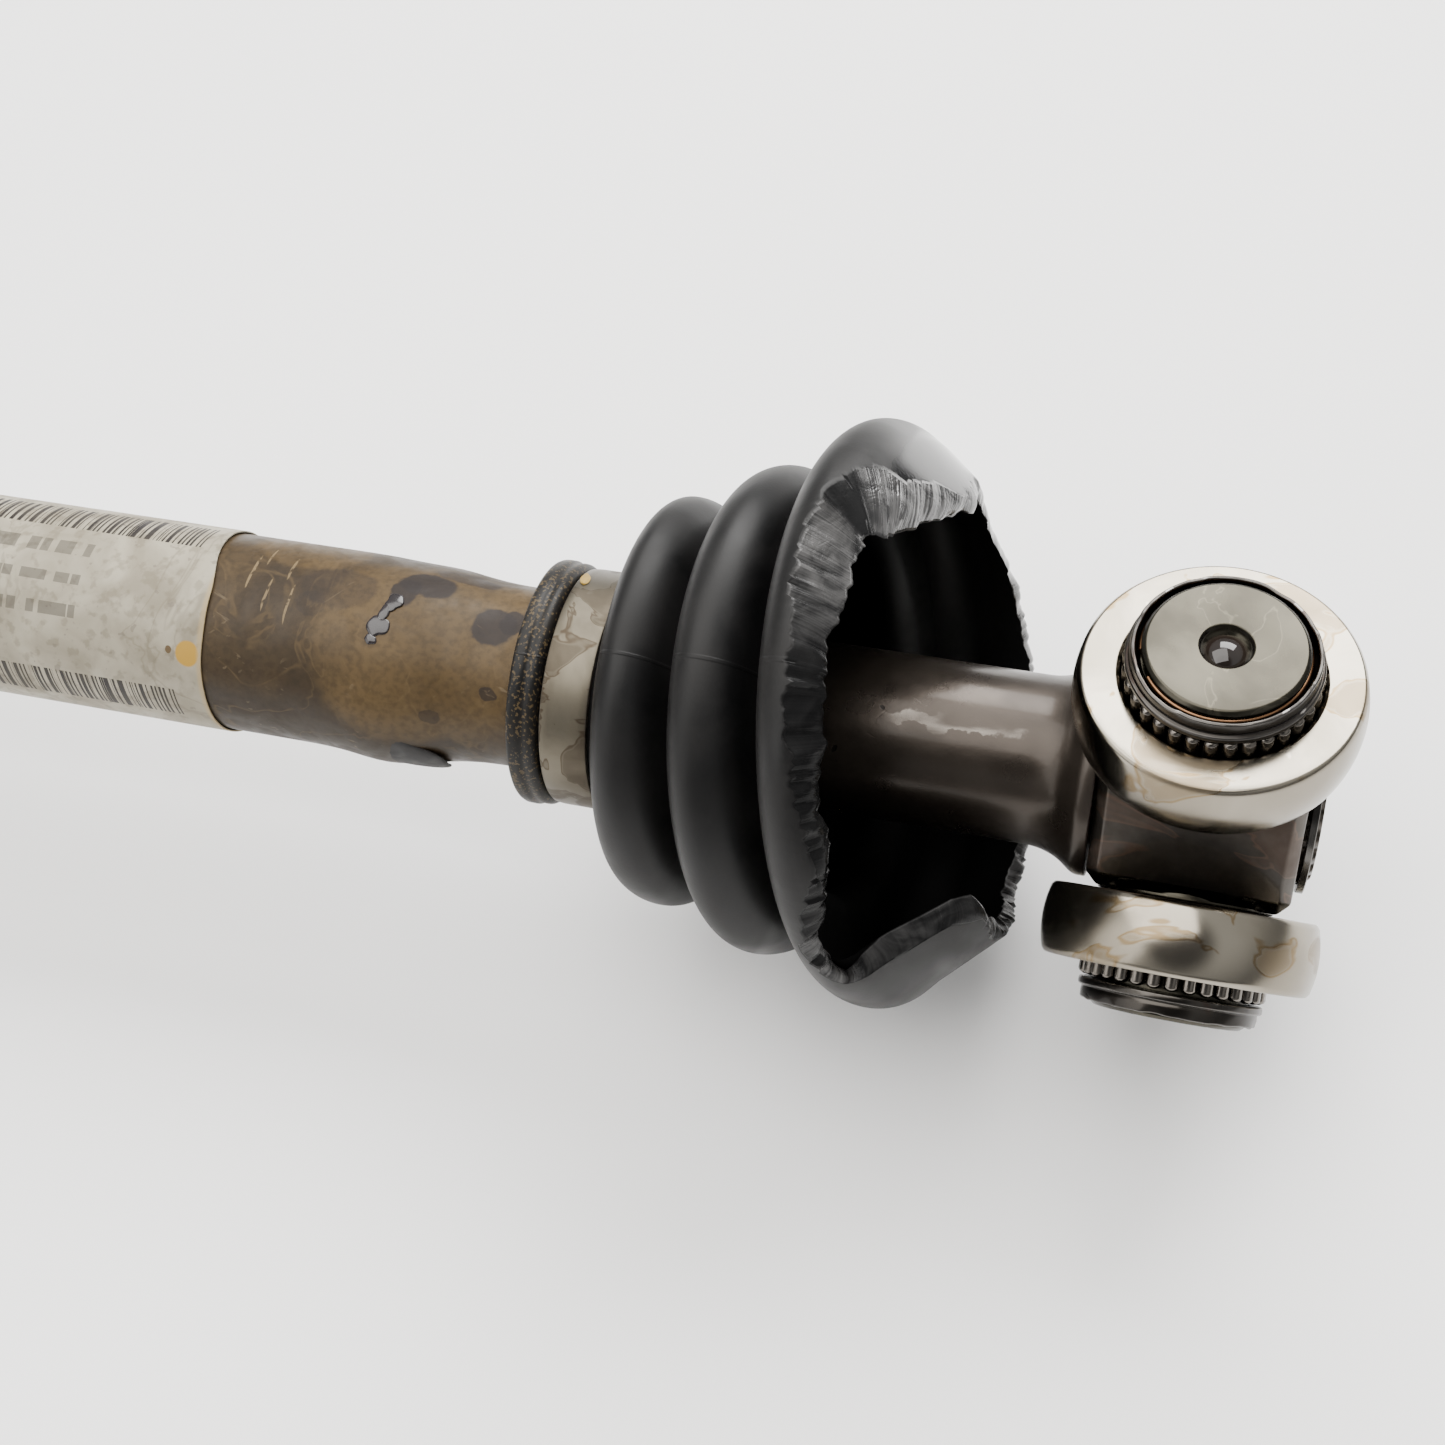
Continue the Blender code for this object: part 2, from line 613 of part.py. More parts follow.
def ball_placement(azimuth):
    """Placement with local +X along the shaft and local +Z out through a ball, about the joint's centre."""
    return Matrix.Translation((WHEEL_X, 0, 0)) @ Matrix.Rotation(math.radians(azimuth), 4, "X")


def make_track(name, azimuth, start, end, steps):
    """Cutter for a ball track: an oval spun about the joint's centre, angles from the balls' circle."""
    widen = 1 / math.cos(math.pi / TRACK_SIDES)
    deep = (BALL_RADIUS + TRACK_DEPTH_CLEARANCE) * widen
    wide = (BALL_RADIUS + TRACK_SIDE_CLEARANCE) * widen
    turns = [math.tau * (side + 0.5) / TRACK_SIDES for side in range(TRACK_SIDES)]
    build = bmesh.new()
    points = [(0, wide * math.cos(turn), BALL_CIRCLE + deep * math.sin(turn)) for turn in turns]
    oval = [build.verts.new(point) for point in points]
    geometry = [build.faces.new(oval)]
    centre, axis = Vector((0, 0, 0)), Vector((0, 1, 0))
    sweep = math.radians(end - start)
    bmesh.ops.rotate(build, verts=oval, cent=centre, matrix=Matrix.Rotation(math.radians(start), 3, axis))
    bmesh.ops.spin(build, geom=geometry, cent=centre, axis=axis, angle=sweep, steps=steps)
    bmesh.ops.recalc_face_normals(build, faces=build.faces)
    mesh = bpy.data.meshes.new(name)
    build.to_mesh(mesh)
    build.free()
    obj = add(name, mesh, "oiled_steel")
    obj.matrix_world = ball_placement(azimuth)
    return obj


def make_bell():
    """The bell: the outer race and its tracks, the bearing shoulder, the splined stub and its thread."""
    seat = RACE_RADIUS + SPHERE_CLEARANCE + CAGE_WALL + BELL_CLEARANCE
    cavity = arc((0, 0), seat, 180, sphere_angle(seat, BELL_SEAT_EDGE), 12)
    cavity[0] = (-seat, 0.0)
    dome_start, dome_end = BELL_DOME
    dome_angles = sphere_angle(BELL_RADIUS, dome_start), sphere_angle(BELL_RADIUS, dome_end)
    dome = arc((0, 0), BELL_RADIUS, *dome_angles, 6)
    relief = -BELL_SHOULDER - STUB_RELIEF_LENGTH
    spline_end = relief - STUB_SPLINE_LENGTH
    core = STUB_SPLINE_RADIUS - STUB_TOOTH - 0.0008
    profile = cavity + [
        (BELL_MOUTH - BELL_LIP, BELL_MOUTH_RADIUS),
        (BELL_MOUTH, BELL_MOUTH_RADIUS + 0.0004),
        (BELL_MOUTH, BELL_RADIUS - 0.0008),
        (BELL_MOUTH - 0.0008, BELL_RADIUS),
        (dome_start + 0.0060, BELL_RADIUS),
    ] + dome + [
        (dome_end - 0.0010, BELL_SHOULDER_RADIUS),
        (-BELL_SHOULDER, BELL_SHOULDER_RADIUS),
        (-BELL_SHOULDER, STUB_RELIEF_RADIUS),
        (relief, STUB_RELIEF_RADIUS),
        (relief, core),
        (spline_end + 0.0010, core),
        (spline_end + 0.0010, THREAD_RADIUS),
        (spline_end - THREAD_LENGTH + THREAD_CHAMFER, THREAD_RADIUS),
        (spline_end - THREAD_LENGTH, THREAD_RADIUS - THREAD_CHAMFER),
        (spline_end - THREAD_LENGTH, 0.0),
    ]
    bell = turned("bell", profile, "oiled_steel", along_shaft(WHEEL_X), closed=False)
    low, high = WHEEL_X + spline_end, WHEEL_X + relief + 0.0010
    stub = splined("stub_spline", STUB_SPLINE_RADIUS, STUB_TOOTH, STUB_TEETH, low, high)
    boolean(bell, stub, "UNION")
    for number in range(BALLS):
        track = make_track(f"bell_track_{number + 1}", 360 / BALLS * number, -TRACK_BACK, 48.0, 9)
        boolean(bell, track)
    return bell


def make_inner_race():
    """The inner race, splined onto the shaft, with a track for each ball."""
    half = RACE_HALF_LENGTH
    sphere = arc((0, 0), RACE_RADIUS, sphere_angle(RACE_RADIUS, -half), sphere_angle(RACE_RADIUS, half), 7)
    core = SPLINE_RADIUS - SPLINE_TOOTH * 2
    race = turned("inner_race", sphere + [(half, core), (-half, core)], "oiled_steel", along_shaft(WHEEL_X))
    for number in range(BALLS):
        boolean(race, make_track(f"race_track_{number + 1}", 360 / BALLS * number, -50.0, 50.0, 10))
    boolean(race, spline_hole("race_spline", WHEEL_X, RACE_HALF_LENGTH * 2))
    return race


def make_cage():
    """The ball cage, with a window for each ball."""
    inner = RACE_RADIUS + SPHERE_CLEARANCE
    outer = inner + CAGE_WALL
    half = CAGE_HALF_LENGTH
    outside = arc((0, 0), outer, sphere_angle(outer, -half), sphere_angle(outer, half), 7)
    inside = arc((0, 0), inner, sphere_angle(inner, half), sphere_angle(inner, -half), 7)
    cage = turned("cage", outside + inside, "oiled_steel", along_shaft(WHEEL_X))
    reach = BALL_RADIUS + WINDOW_CLEARANCE
    corner = reach * 0.55
    outline = [
        (reach, -corner), (reach, corner), (reach * 0.86, reach * 0.86), (corner, reach),
        (-corner, reach), (-reach * 0.86, reach * 0.86), (-reach, corner), (-reach, -corner),
        (-reach * 0.86, -reach * 0.86), (-corner, -reach), (corner, -reach), (reach * 0.86, -reach * 0.86),
    ]
    for number in range(BALLS):
        placement = ball_placement(360 / BALLS * number)
        name = f"window_{number + 1}"
        window = extruded(name, outline, inner * 0.6, outer * 1.2, "oiled_steel", placement)
        boolean(cage, window)
    return cage


def make_balls():
    """The six balls, each in its own window."""
    for number in range(BALLS):
        bpy.ops.mesh.primitive_uv_sphere_add(segments=16, ring_count=8, radius=BALL_RADIUS)
        ball = bpy.context.object
        ball.name = ball.data.name = f"ball_{number + 1}"
        for collection in ball.users_collection:
            collection.objects.unlink(ball)
        PARTS.objects.link(ball)
        ball.data.materials.append(finish("polished_steel"))
        ball.matrix_world = ball_placement(360 / BALLS * number) @ Matrix.Translation((0, 0, BALL_CIRCLE))
        ball.data.shade_smooth()


# ---- Wheel boot ----------------------------------------------------------------------------------
def make_wheel_boot():
    """The bellows from the bell's mouth down to the shaft."""
    points = WHEEL_CREST_POINTS, WHEEL_VALLEY_POINTS
    skin = bellows(WHEEL_FOLDS, 0.0, *points)
    lining = bellows(WHEEL_FOLDS, WHEEL_BOOT_WALL, *points)
    seat = COLLAR_SEAT_RADIUS + GAP
    mouth_seat = BELL_RADIUS + GAP
    outer = mouth_seat + BELL_COLLAR_THICKNESS
    back = BELL_MOUTH - BELL_COLLAR_LENGTH
    band = back + (BELL_COLLAR_LENGTH - BELL_CLAMP_WIDTH) / 2 - GAP
    step = 0.0010
    wide_collar = [
        (back, mouth_seat),
        (back, outer),
        (band, outer),
        (band, outer - BELL_COLLAR_GROOVE),
        (band + BELL_CLAMP_WIDTH + 2 * GAP, outer - BELL_COLLAR_GROOVE),
        (band + BELL_CLAMP_WIDTH + 2 * GAP, outer),
        (BELL_MOUTH + step, outer),
    ]
    lip = WHEEL_COLLAR_START - COLLAR_LIP_WIDTH
    small_collar = [
        (lip, COLLAR_GROOVE_RADIUS),
        (lip, COLLAR_LIP_RADIUS - 0.0010),
        (lip + COLLAR_LIP_WIDTH * 0.4, COLLAR_LIP_RADIUS),
        (WHEEL_COLLAR_START - 0.0006, COLLAR_LIP_RADIUS),
        (WHEEL_COLLAR_START, COLLAR_LIP_RADIUS - 0.0006),
        (WHEEL_COLLAR_START, seat),
        (WHEEL_SEAT_END + 0.0020, seat),
    ]
    lining = [point for point in lining if point[1] > seat]
    profile = wide_collar + skin + small_collar + lining[::-1] + [(BELL_MOUTH + GAP, mouth_seat)]
    return turned("wheel_boot", profile, "boot_rubber", along_shaft(WHEEL_X))


def make_wheel_clamps():
    """The bands in the grooves of the wheel boot's two collars."""
    low = WHEEL_COLLAR_START - COLLAR_LIP_WIDTH - GAP - COLLAR_BAND_WIDTH
    inner = COLLAR_GROOVE_RADIUS + GAP
    loop = tube_loop(low, low + COLLAR_BAND_WIDTH, inner, inner + CLAMP_THICKNESS)
    turned("wheel_boot_small_clamp", loop, "clamp_steel", along_shaft(WHEEL_X))
    back = BELL_MOUTH - BELL_COLLAR_LENGTH
    low = back + (BELL_COLLAR_LENGTH - BELL_CLAMP_WIDTH) / 2
    inner = BELL_RADIUS + GAP + BELL_COLLAR_THICKNESS - BELL_COLLAR_GROOVE + GAP
    loop = tube_loop(low, low + BELL_CLAMP_WIDTH, inner, inner + CLAMP_THICKNESS)
    turned("wheel_boot_large_clamp", loop, "clamp_steel", along_shaft(WHEEL_X))


def build():
    """Makes every part of the axle."""
    make_shaft()
    make_label()
    make_circlip("tripod_circlip", SHAFT_END_X - END_PROUD / 2)
    make_spider()
    for number, angle in enumerate(ARM_ANGLES, 1):
        make_needles(number, angle)
        make_roller(number, angle)
        make_retainer(number, angle)
        make_snap_ring(number, angle)
    make_gearbox_boot()
    make_gearbox_clamp()
    make_bell()
    make_inner_race()
    make_cage()
    make_balls()
    make_circlip("inner_race_circlip", RACE_END_X + END_PROUD / 2)
    make_wheel_boot()
    make_wheel_clamps()


build()
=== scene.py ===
"""Looks of a front-wheel half-shaft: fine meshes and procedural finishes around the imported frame.

Lengths are in metres and angles in degrees, in the frame's own axes: +X runs along the shaft towards the
gearbox end, and +Z runs up through the first tripod arm. A turn about the shaft is measured from +Z
towards -Y.
"""
import logging
import math
from dataclasses import astuple, dataclass
from enum import Enum
from typing import Callable, Sequence, Union

import bmesh
import bpy
import numpy as np
from mathutils import Matrix, Vector


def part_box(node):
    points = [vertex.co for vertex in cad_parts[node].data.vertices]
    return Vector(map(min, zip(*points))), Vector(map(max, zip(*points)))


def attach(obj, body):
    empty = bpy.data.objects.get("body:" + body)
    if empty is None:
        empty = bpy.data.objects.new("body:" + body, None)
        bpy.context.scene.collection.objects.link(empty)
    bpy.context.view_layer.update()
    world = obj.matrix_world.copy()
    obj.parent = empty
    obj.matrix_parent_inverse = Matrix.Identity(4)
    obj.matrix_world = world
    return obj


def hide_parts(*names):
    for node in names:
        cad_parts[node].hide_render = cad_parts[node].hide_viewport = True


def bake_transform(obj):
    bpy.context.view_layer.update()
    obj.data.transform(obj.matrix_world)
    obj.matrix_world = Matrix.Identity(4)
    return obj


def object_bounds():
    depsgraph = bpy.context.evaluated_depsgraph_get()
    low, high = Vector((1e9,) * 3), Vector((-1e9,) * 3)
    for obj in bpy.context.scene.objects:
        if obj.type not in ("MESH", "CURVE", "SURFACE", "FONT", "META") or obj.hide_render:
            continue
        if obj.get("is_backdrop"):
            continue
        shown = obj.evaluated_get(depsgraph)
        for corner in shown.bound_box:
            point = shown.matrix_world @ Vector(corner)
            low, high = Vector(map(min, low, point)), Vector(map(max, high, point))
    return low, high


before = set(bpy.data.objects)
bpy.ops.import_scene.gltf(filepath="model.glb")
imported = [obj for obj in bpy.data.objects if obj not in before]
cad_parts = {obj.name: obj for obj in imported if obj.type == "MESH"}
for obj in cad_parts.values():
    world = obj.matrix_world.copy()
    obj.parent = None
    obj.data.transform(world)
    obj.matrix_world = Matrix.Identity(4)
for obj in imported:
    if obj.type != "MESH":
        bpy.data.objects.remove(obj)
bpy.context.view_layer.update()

LOG = logging.getLogger("cv_axle")
MM = 0.001
FACING = 33.5  # the turn, in degrees, that the open side of the tear and the label's print look towards
GAP = 0.3  # millimetres between pieces that touch

Triple = tuple[float, float, float]
Profile = list[tuple[float, float]]
Warp = Callable[[np.ndarray, np.ndarray, np.ndarray], tuple[np.ndarray, np.ndarray]]
Piece = bpy.types.Object
Finish = bpy.types.Material
Tree = bpy.types.NodeTree
Node = bpy.types.Node
Socket = bpy.types.NodeSocket
Value = Union[Socket, float, tuple]


def middle(node: str) -> Vector:
    """The centre of a CAD node's box at rest."""
    low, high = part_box(node)
    return (Vector(low) + Vector(high)) / 2


def lowest(node: str) -> float:
    """The wheel-side end of a CAD node's box along the shaft."""
    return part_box(node)[0][0]


def highest(node: str) -> float:
    """The gearbox-side end of a CAD node's box along the shaft."""
    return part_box(node)[1][0]


TRIPOD_X = middle("tripod_spider").x
WHEEL_X = middle("cage").x


# ---- Shapes -----------------------------------------------------------------------------------------
def filleted(corners: Sequence[Triple], closed: bool = True, steps: int = 5) -> Profile:
    """Rounds a profile's corners.

    Args:
        corners: (axial, radius, rounding) of each corner, in millimetres.
        closed: whether the last corner joins the first.
        steps: points on each rounding.
    Returns:
        The rounded profile, in metres.
    """
    points: Profile = []
    count = len(corners)
    for i, (axial, radius, rounding) in enumerate(corners):
        here = Vector((axial, radius))
        at_end = not closed and i in (0, count - 1)
        if rounding <= 0 or at_end:
            points.append((axial * MM, radius * MM))
            continue
        before = Vector(corners[i - 1][:2]) - here
        after = Vector(corners[(i + 1) % count][:2]) - here
        reach = min(rounding, before.length * 0.49, after.length * 0.49)
        start, end = here + before.normalized() * reach, here + after.normalized() * reach
        for step in range(steps):
            t = step / (steps - 1)
            point = start * (1 - t) ** 2 + here * 2 * t * (1 - t) + end * t**2
            points.append((point.x * MM, point.y * MM))
    return points


def spaced(profile: Profile, longest: float, closed: bool = True) -> Profile:
    """Adds points to a profile so that no step is longer than a length.

    Args:
        profile: the profile, in metres.
        longest: the longest step, in metres.
        closed: whether the last point joins the first.
    Returns:
        The profile with its new points.
    """
    points: Profile = []
    pairs = zip(profile, profile[1:] + profile[:1]) if closed else zip(profile, profile[1:])
    for first, second in pairs:
        gap = math.dist(first, second)
        parts = max(1, math.ceil(gap / longest))
        for part in range(parts):
            t = part / parts
            points.append((first[0] + (second[0] - first[0]) * t, first[1] + (second[1] - first[1]) * t))
    return points if closed else points + [profile[-1]]


def link(name: str, mesh: bpy.types.Mesh, sharp: float = 35.0) -> Piece:
    """Puts a mesh in the scene as a smooth-shaded object, with sharp edges over an angle.

    Args:
        name: the object's name.
        mesh: the mesh.
        sharp: the angle in degrees.
    Returns:
        The new object.
    """
    obj = bpy.data.objects.new(name, mesh)
    bpy.context.scene.collection.objects.link(obj)
    mesh.shade_smooth()
    mesh.set_sharp_from_angle(angle=math.radians(sharp))
    return obj


def grid_mesh(
    name: str,
    points: np.ndarray,
    close_rows: bool,
    sharp: float = 35.0,
    tidy: bool = True,
) -> Piece:
    """Makes a surface from rows of points, each row a closed ring.

    Args:
        name: the piece's name.
        points: array of rows x ring points x 3.
        close_rows: whether the last row joins the first; if not, the open ends are capped.
        sharp: edges over this angle stay sharp.
        tidy: whether points that meet are merged; if not, the points keep their order.
    Returns:
        The new object.
    """
    rows, ring, _ = points.shape
    index = np.arange(rows * ring).reshape(rows, ring)
    after = np.roll(index, -1, axis=1)
    low, high = (index, np.roll(index, -1, axis=0)) if close_rows else (index[:-1], index[1:])
    low_after, high_after = (after, np.roll(after, -1, axis=0)) if close_rows else (after[:-1], after[1:])
    quads = np.stack([low, low_after, high_after, high], axis=-1).reshape(-1, 4)
    mesh = bpy.data.meshes.new(name)
    caps = [] if close_rows else [index[0, ::-1].tolist(), index[-1].tolist()]
    mesh.from_pydata(points.reshape(-1, 3).tolist(), [], quads.tolist() + caps)
    build = bmesh.new()
    build.from_mesh(mesh)
    if tidy:
        bmesh.ops.remove_doubles(build, verts=build.verts, dist=1e-7)
        bmesh.ops.dissolve_degenerate(build, edges=build.edges, dist=1e-8)
    bmesh.ops.recalc_face_normals(build, faces=build.faces)
    build.to_mesh(mesh)
    build.free()
    return link(name, mesh, sharp)


def turned(
    name: str,
    profile: Profile,
    steps: int = 144,
    closed: bool = True,
    warp: Warp | None = None,
    sharp: float = 35.0,
) -> Piece:
    """A fine turned piece about local +Z.

    Args:
        name: the piece's name.
        profile: (axial, radius) points, in metres.
        steps: points round the axis.
        closed: whether the profile is a loop; an open one is capped or ends on the axis.
        warp: takes the axial places, radii and turns, and gives new axial places and radii.
        sharp: edges over this angle stay sharp.
    Returns:
        The new object, still at the origin.
    """
    line = np.array(profile)
    turn = np.linspace(0, math.tau, steps, endpoint=False)[None, :]
    axial = np.repeat(line[:, :1], steps, axis=1)
    radius = np.repeat(line[:, 1:], steps, axis=1)
    if warp:
        axial, radius = warp(axial, radius, np.repeat(turn, len(line), axis=0))
    points = np.stack([radius * np.cos(turn), radius * np.sin(turn), axial], axis=-1)
    return grid_mesh(name, points, closed, sharp)


def on_shaft(x: np.ndarray, radius: np.ndarray, turn: np.ndarray) -> np.ndarray:
    """Points at axial places, radii and turns about the shaft; the last axis holds x, y and z."""
    x, radius, turn = np.broadcast_arrays(x, radius, turn)
    return np.stack([x, -radius * np.sin(turn), radius * np.cos(turn)], axis=-1)


def along_shaft(obj: Piece, x: float) -> Piece:
    """Lays a turned piece along the shaft, its local zero at x and its local +X towards +Z.

    Args:
        obj: the piece, moved in its mesh.
        x: the place on the shaft, in metres.
    Returns:
        The same piece.
    """
    turn = Matrix.Rotation(math.pi / 2, 4, "Y") @ Matrix.Rotation(math.pi, 4, "Z")
    obj.data.transform(Matrix.Translation((x, 0, 0)) @ turn)
    return obj


def along_arm(obj: Piece, angle: float) -> Piece:
    """Stands a turned piece on a tripod arm, its local zero on the shaft's axis."""
    obj.data.transform(Matrix.Translation((TRIPOD_X, 0, 0)) @ Matrix.Rotation(math.radians(angle), 4, "X"))
    return obj


def joined(name: str, pieces: Sequence[Piece]) -> Piece:
    """Joins pieces into the first one and names it.

    Args:
        name: the joined piece's name.
        pieces: the pieces to join.
    Returns:
        The joined piece.
    """
    build = bmesh.new()
    for piece in pieces:
        build.from_mesh(piece.data)
    build.to_mesh(pieces[0].data)
    build.free()
    for piece in pieces[1:]:
        bpy.data.objects.remove(piece, do_unlink=True)
    pieces[0].name = name
    pieces[0].data.set_sharp_from_angle(angle=math.radians(35))
    return pieces[0]


def merged(target: Piece, other: Piece, operation: str = "UNION") -> None:
    """Applies a Boolean to a mesh and removes the other object.

    Args:
        target: the piece that changes.
        other: the piece that is added or cut away.
        operation: the Boolean's kind.
    """
    modifier = target.modifiers.new("merge", "BOOLEAN")
    modifier.operation = operation
    modifier.object = other
    modifier.solver = "EXACT"
    depsgraph = bpy.context.evaluated_depsgraph_get()
    mesh = bpy.data.meshes.new_from_object(target.evaluated_get(depsgraph))
    target.modifiers.clear()
    target.data = mesh
    bpy.data.objects.remove(other, do_unlink=True)


def splined(name: str, tip: float, depth: float, teeth: int, low: float, high: float) -> Piece:
    """Makes a splined length along the shaft with rounded teeth.

    Args:
        name: the piece's name.
        tip: the radius to the tops of the teeth, in metres.
        depth: the depth of the teeth, in metres.
        teeth: how many there are.
        low: the length's low end along the shaft.
        high: its high end.
    Returns:
        The new object, in place.
    """
    per_tooth, steepness = 10, 1.7
    turn = np.linspace(0, math.tau, teeth * per_tooth, endpoint=False)
    wave = np.clip(np.cos(turn * teeth) * steepness, -1, 1)
    radius = tip - depth / 2 + depth / 2 * wave
    root = tip - depth
    ends = ((low, root), (low + depth, tip), (high - depth, tip), (high, root))
    rows = [on_shaft(x, np.minimum(radius, reach), turn) for x, reach in ends]
    return grid_mesh(name, np.array(rows), False)


def lumps(turn: np.ndarray, seed: int, waves: Sequence[int], fade: float = 0.7) -> np.ndarray:
    """Draws a repeatable uneven line round a circle, between about -1 and 1.

    Args:
        turn: the points' turns, in radians.
        seed: which line it is.
        waves: how many waves go round, one number each.
        fade: how much weaker each following wave is.
    Returns:
        The line's heights.
    """
    dice = np.random.default_rng(seed)
    total, height, value = 0.0, 1.0, np.zeros_like(turn)
    for count in waves:
        value = value + height * np.sin(turn * count + dice.uniform(0, math.tau))
        total += height
        height *= fade
    return value / total * 1.6


def blob(name: str, spot: "Spot", seat: float, rise: float, seed: int) -> Piece:
    """Makes a low rounded lump on the shaft, an uneven ellipse from above.

    Args:
        name: the piece's name.
        spot: its place and half sizes.
        seat: the radius that it sits on, in metres.
        rise: how far it stands up, in metres.
        seed: the outline's seed.
    Returns:
        The new object, in place.
    """
    root, uneven = -0.00015, 0.16
    dome = [(root, 0.0), (root, 1.0)]
    dome += [(rise * math.sin(a), math.cos(a)) for a in np.linspace(0, math.pi / 2, 9)]
    obj = turned(name, dome, 48, closed=False, sharp=80)
    points = places(obj)
    wobble = 1 + uneven * lumps(np.arctan2(points[:, 1], points[:, 0]), seed, (2, 3, 5))
    turn = math.radians(FACING - spot.up) + points[:, 1] * wobble * math.radians(spot.width)
    x = TRIPOD_X + spot.x + points[:, 0] * wobble * spot.length
    obj.data.vertices.foreach_set("co", on_shaft(x, seat + points[:, 2], turn).ravel())
    return obj


class FoldKind(Enum):
    """Whether a fold of a bellows stands out or dips in."""

    CREST = "crest"
    VALLEY = "valley"


@dataclass(frozen=True)
class Fold:
    """One fold of a bellows: its axial place, the radius to its top or bottom and its rounding."""

    axial: float
    radius: float
    rounding: float
    kind: FoldKind

    def circle(self, offset: float) -> tuple[float, float, float]:
        """Gives the fold's circle, on the skin or offset inwards.

        Args:
            offset: how far inwards, in millimetres.
        Returns:
            Its axial place, its centre's radius and its rounding.
        """
        if self.kind is FoldKind.CREST:
            return self.axial, self.radius - self.rounding, self.rounding - offset
        return self.axial, self.radius + self.rounding, self.rounding + offset


def bellows(folds: Sequence[Fold], offset: float = 0.0, steps: int = 14) -> Profile:
    """A bellows skin through folds in order of rising axial place.

    Args:
        folds: the folds, in millimetres.
        offset: how far the skin lies inside the outer one.
        steps: points on each fold.
    Returns:
        The profile, in metres.
    """
    circles = [fold.circle(offset) for fold in folds]
    headings = []
    for (fold, first), second in zip(zip(folds, circles), circles[1:]):
        crest, valley = (first, second) if fold.kind is FoldKind.CREST else (second, first)
        across, down = valley[0] - crest[0], valley[1] - crest[1]
        lean = math.acos((crest[2] + valley[2]) / math.hypot(across, down))
        heading = math.atan2(down, across)
        if across > 0:
            headings.append(heading + lean)
        else:
            headings.append((heading + math.tau if heading < 0 else heading) - lean)
    points: Profile = []
    for i, (fold, (axial, centre, rounding)) in enumerate(zip(folds, circles)):
        crest = fold.kind is FoldKind.CREST
        rest = math.pi / 2 if crest else math.pi * 1.5
        turn = 0.0 if crest else math.pi
        start = headings[i - 1] + turn if i else rest
        end = headings[i] + turn if i < len(headings) else rest
        for step in range(steps):
            angle = start + (end - start) * step / (steps - 1)
            across, out = rounding * math.cos(angle), rounding * math.sin(angle)
            points.append(((axial + across) * MM, (centre + out) * MM))
    return points


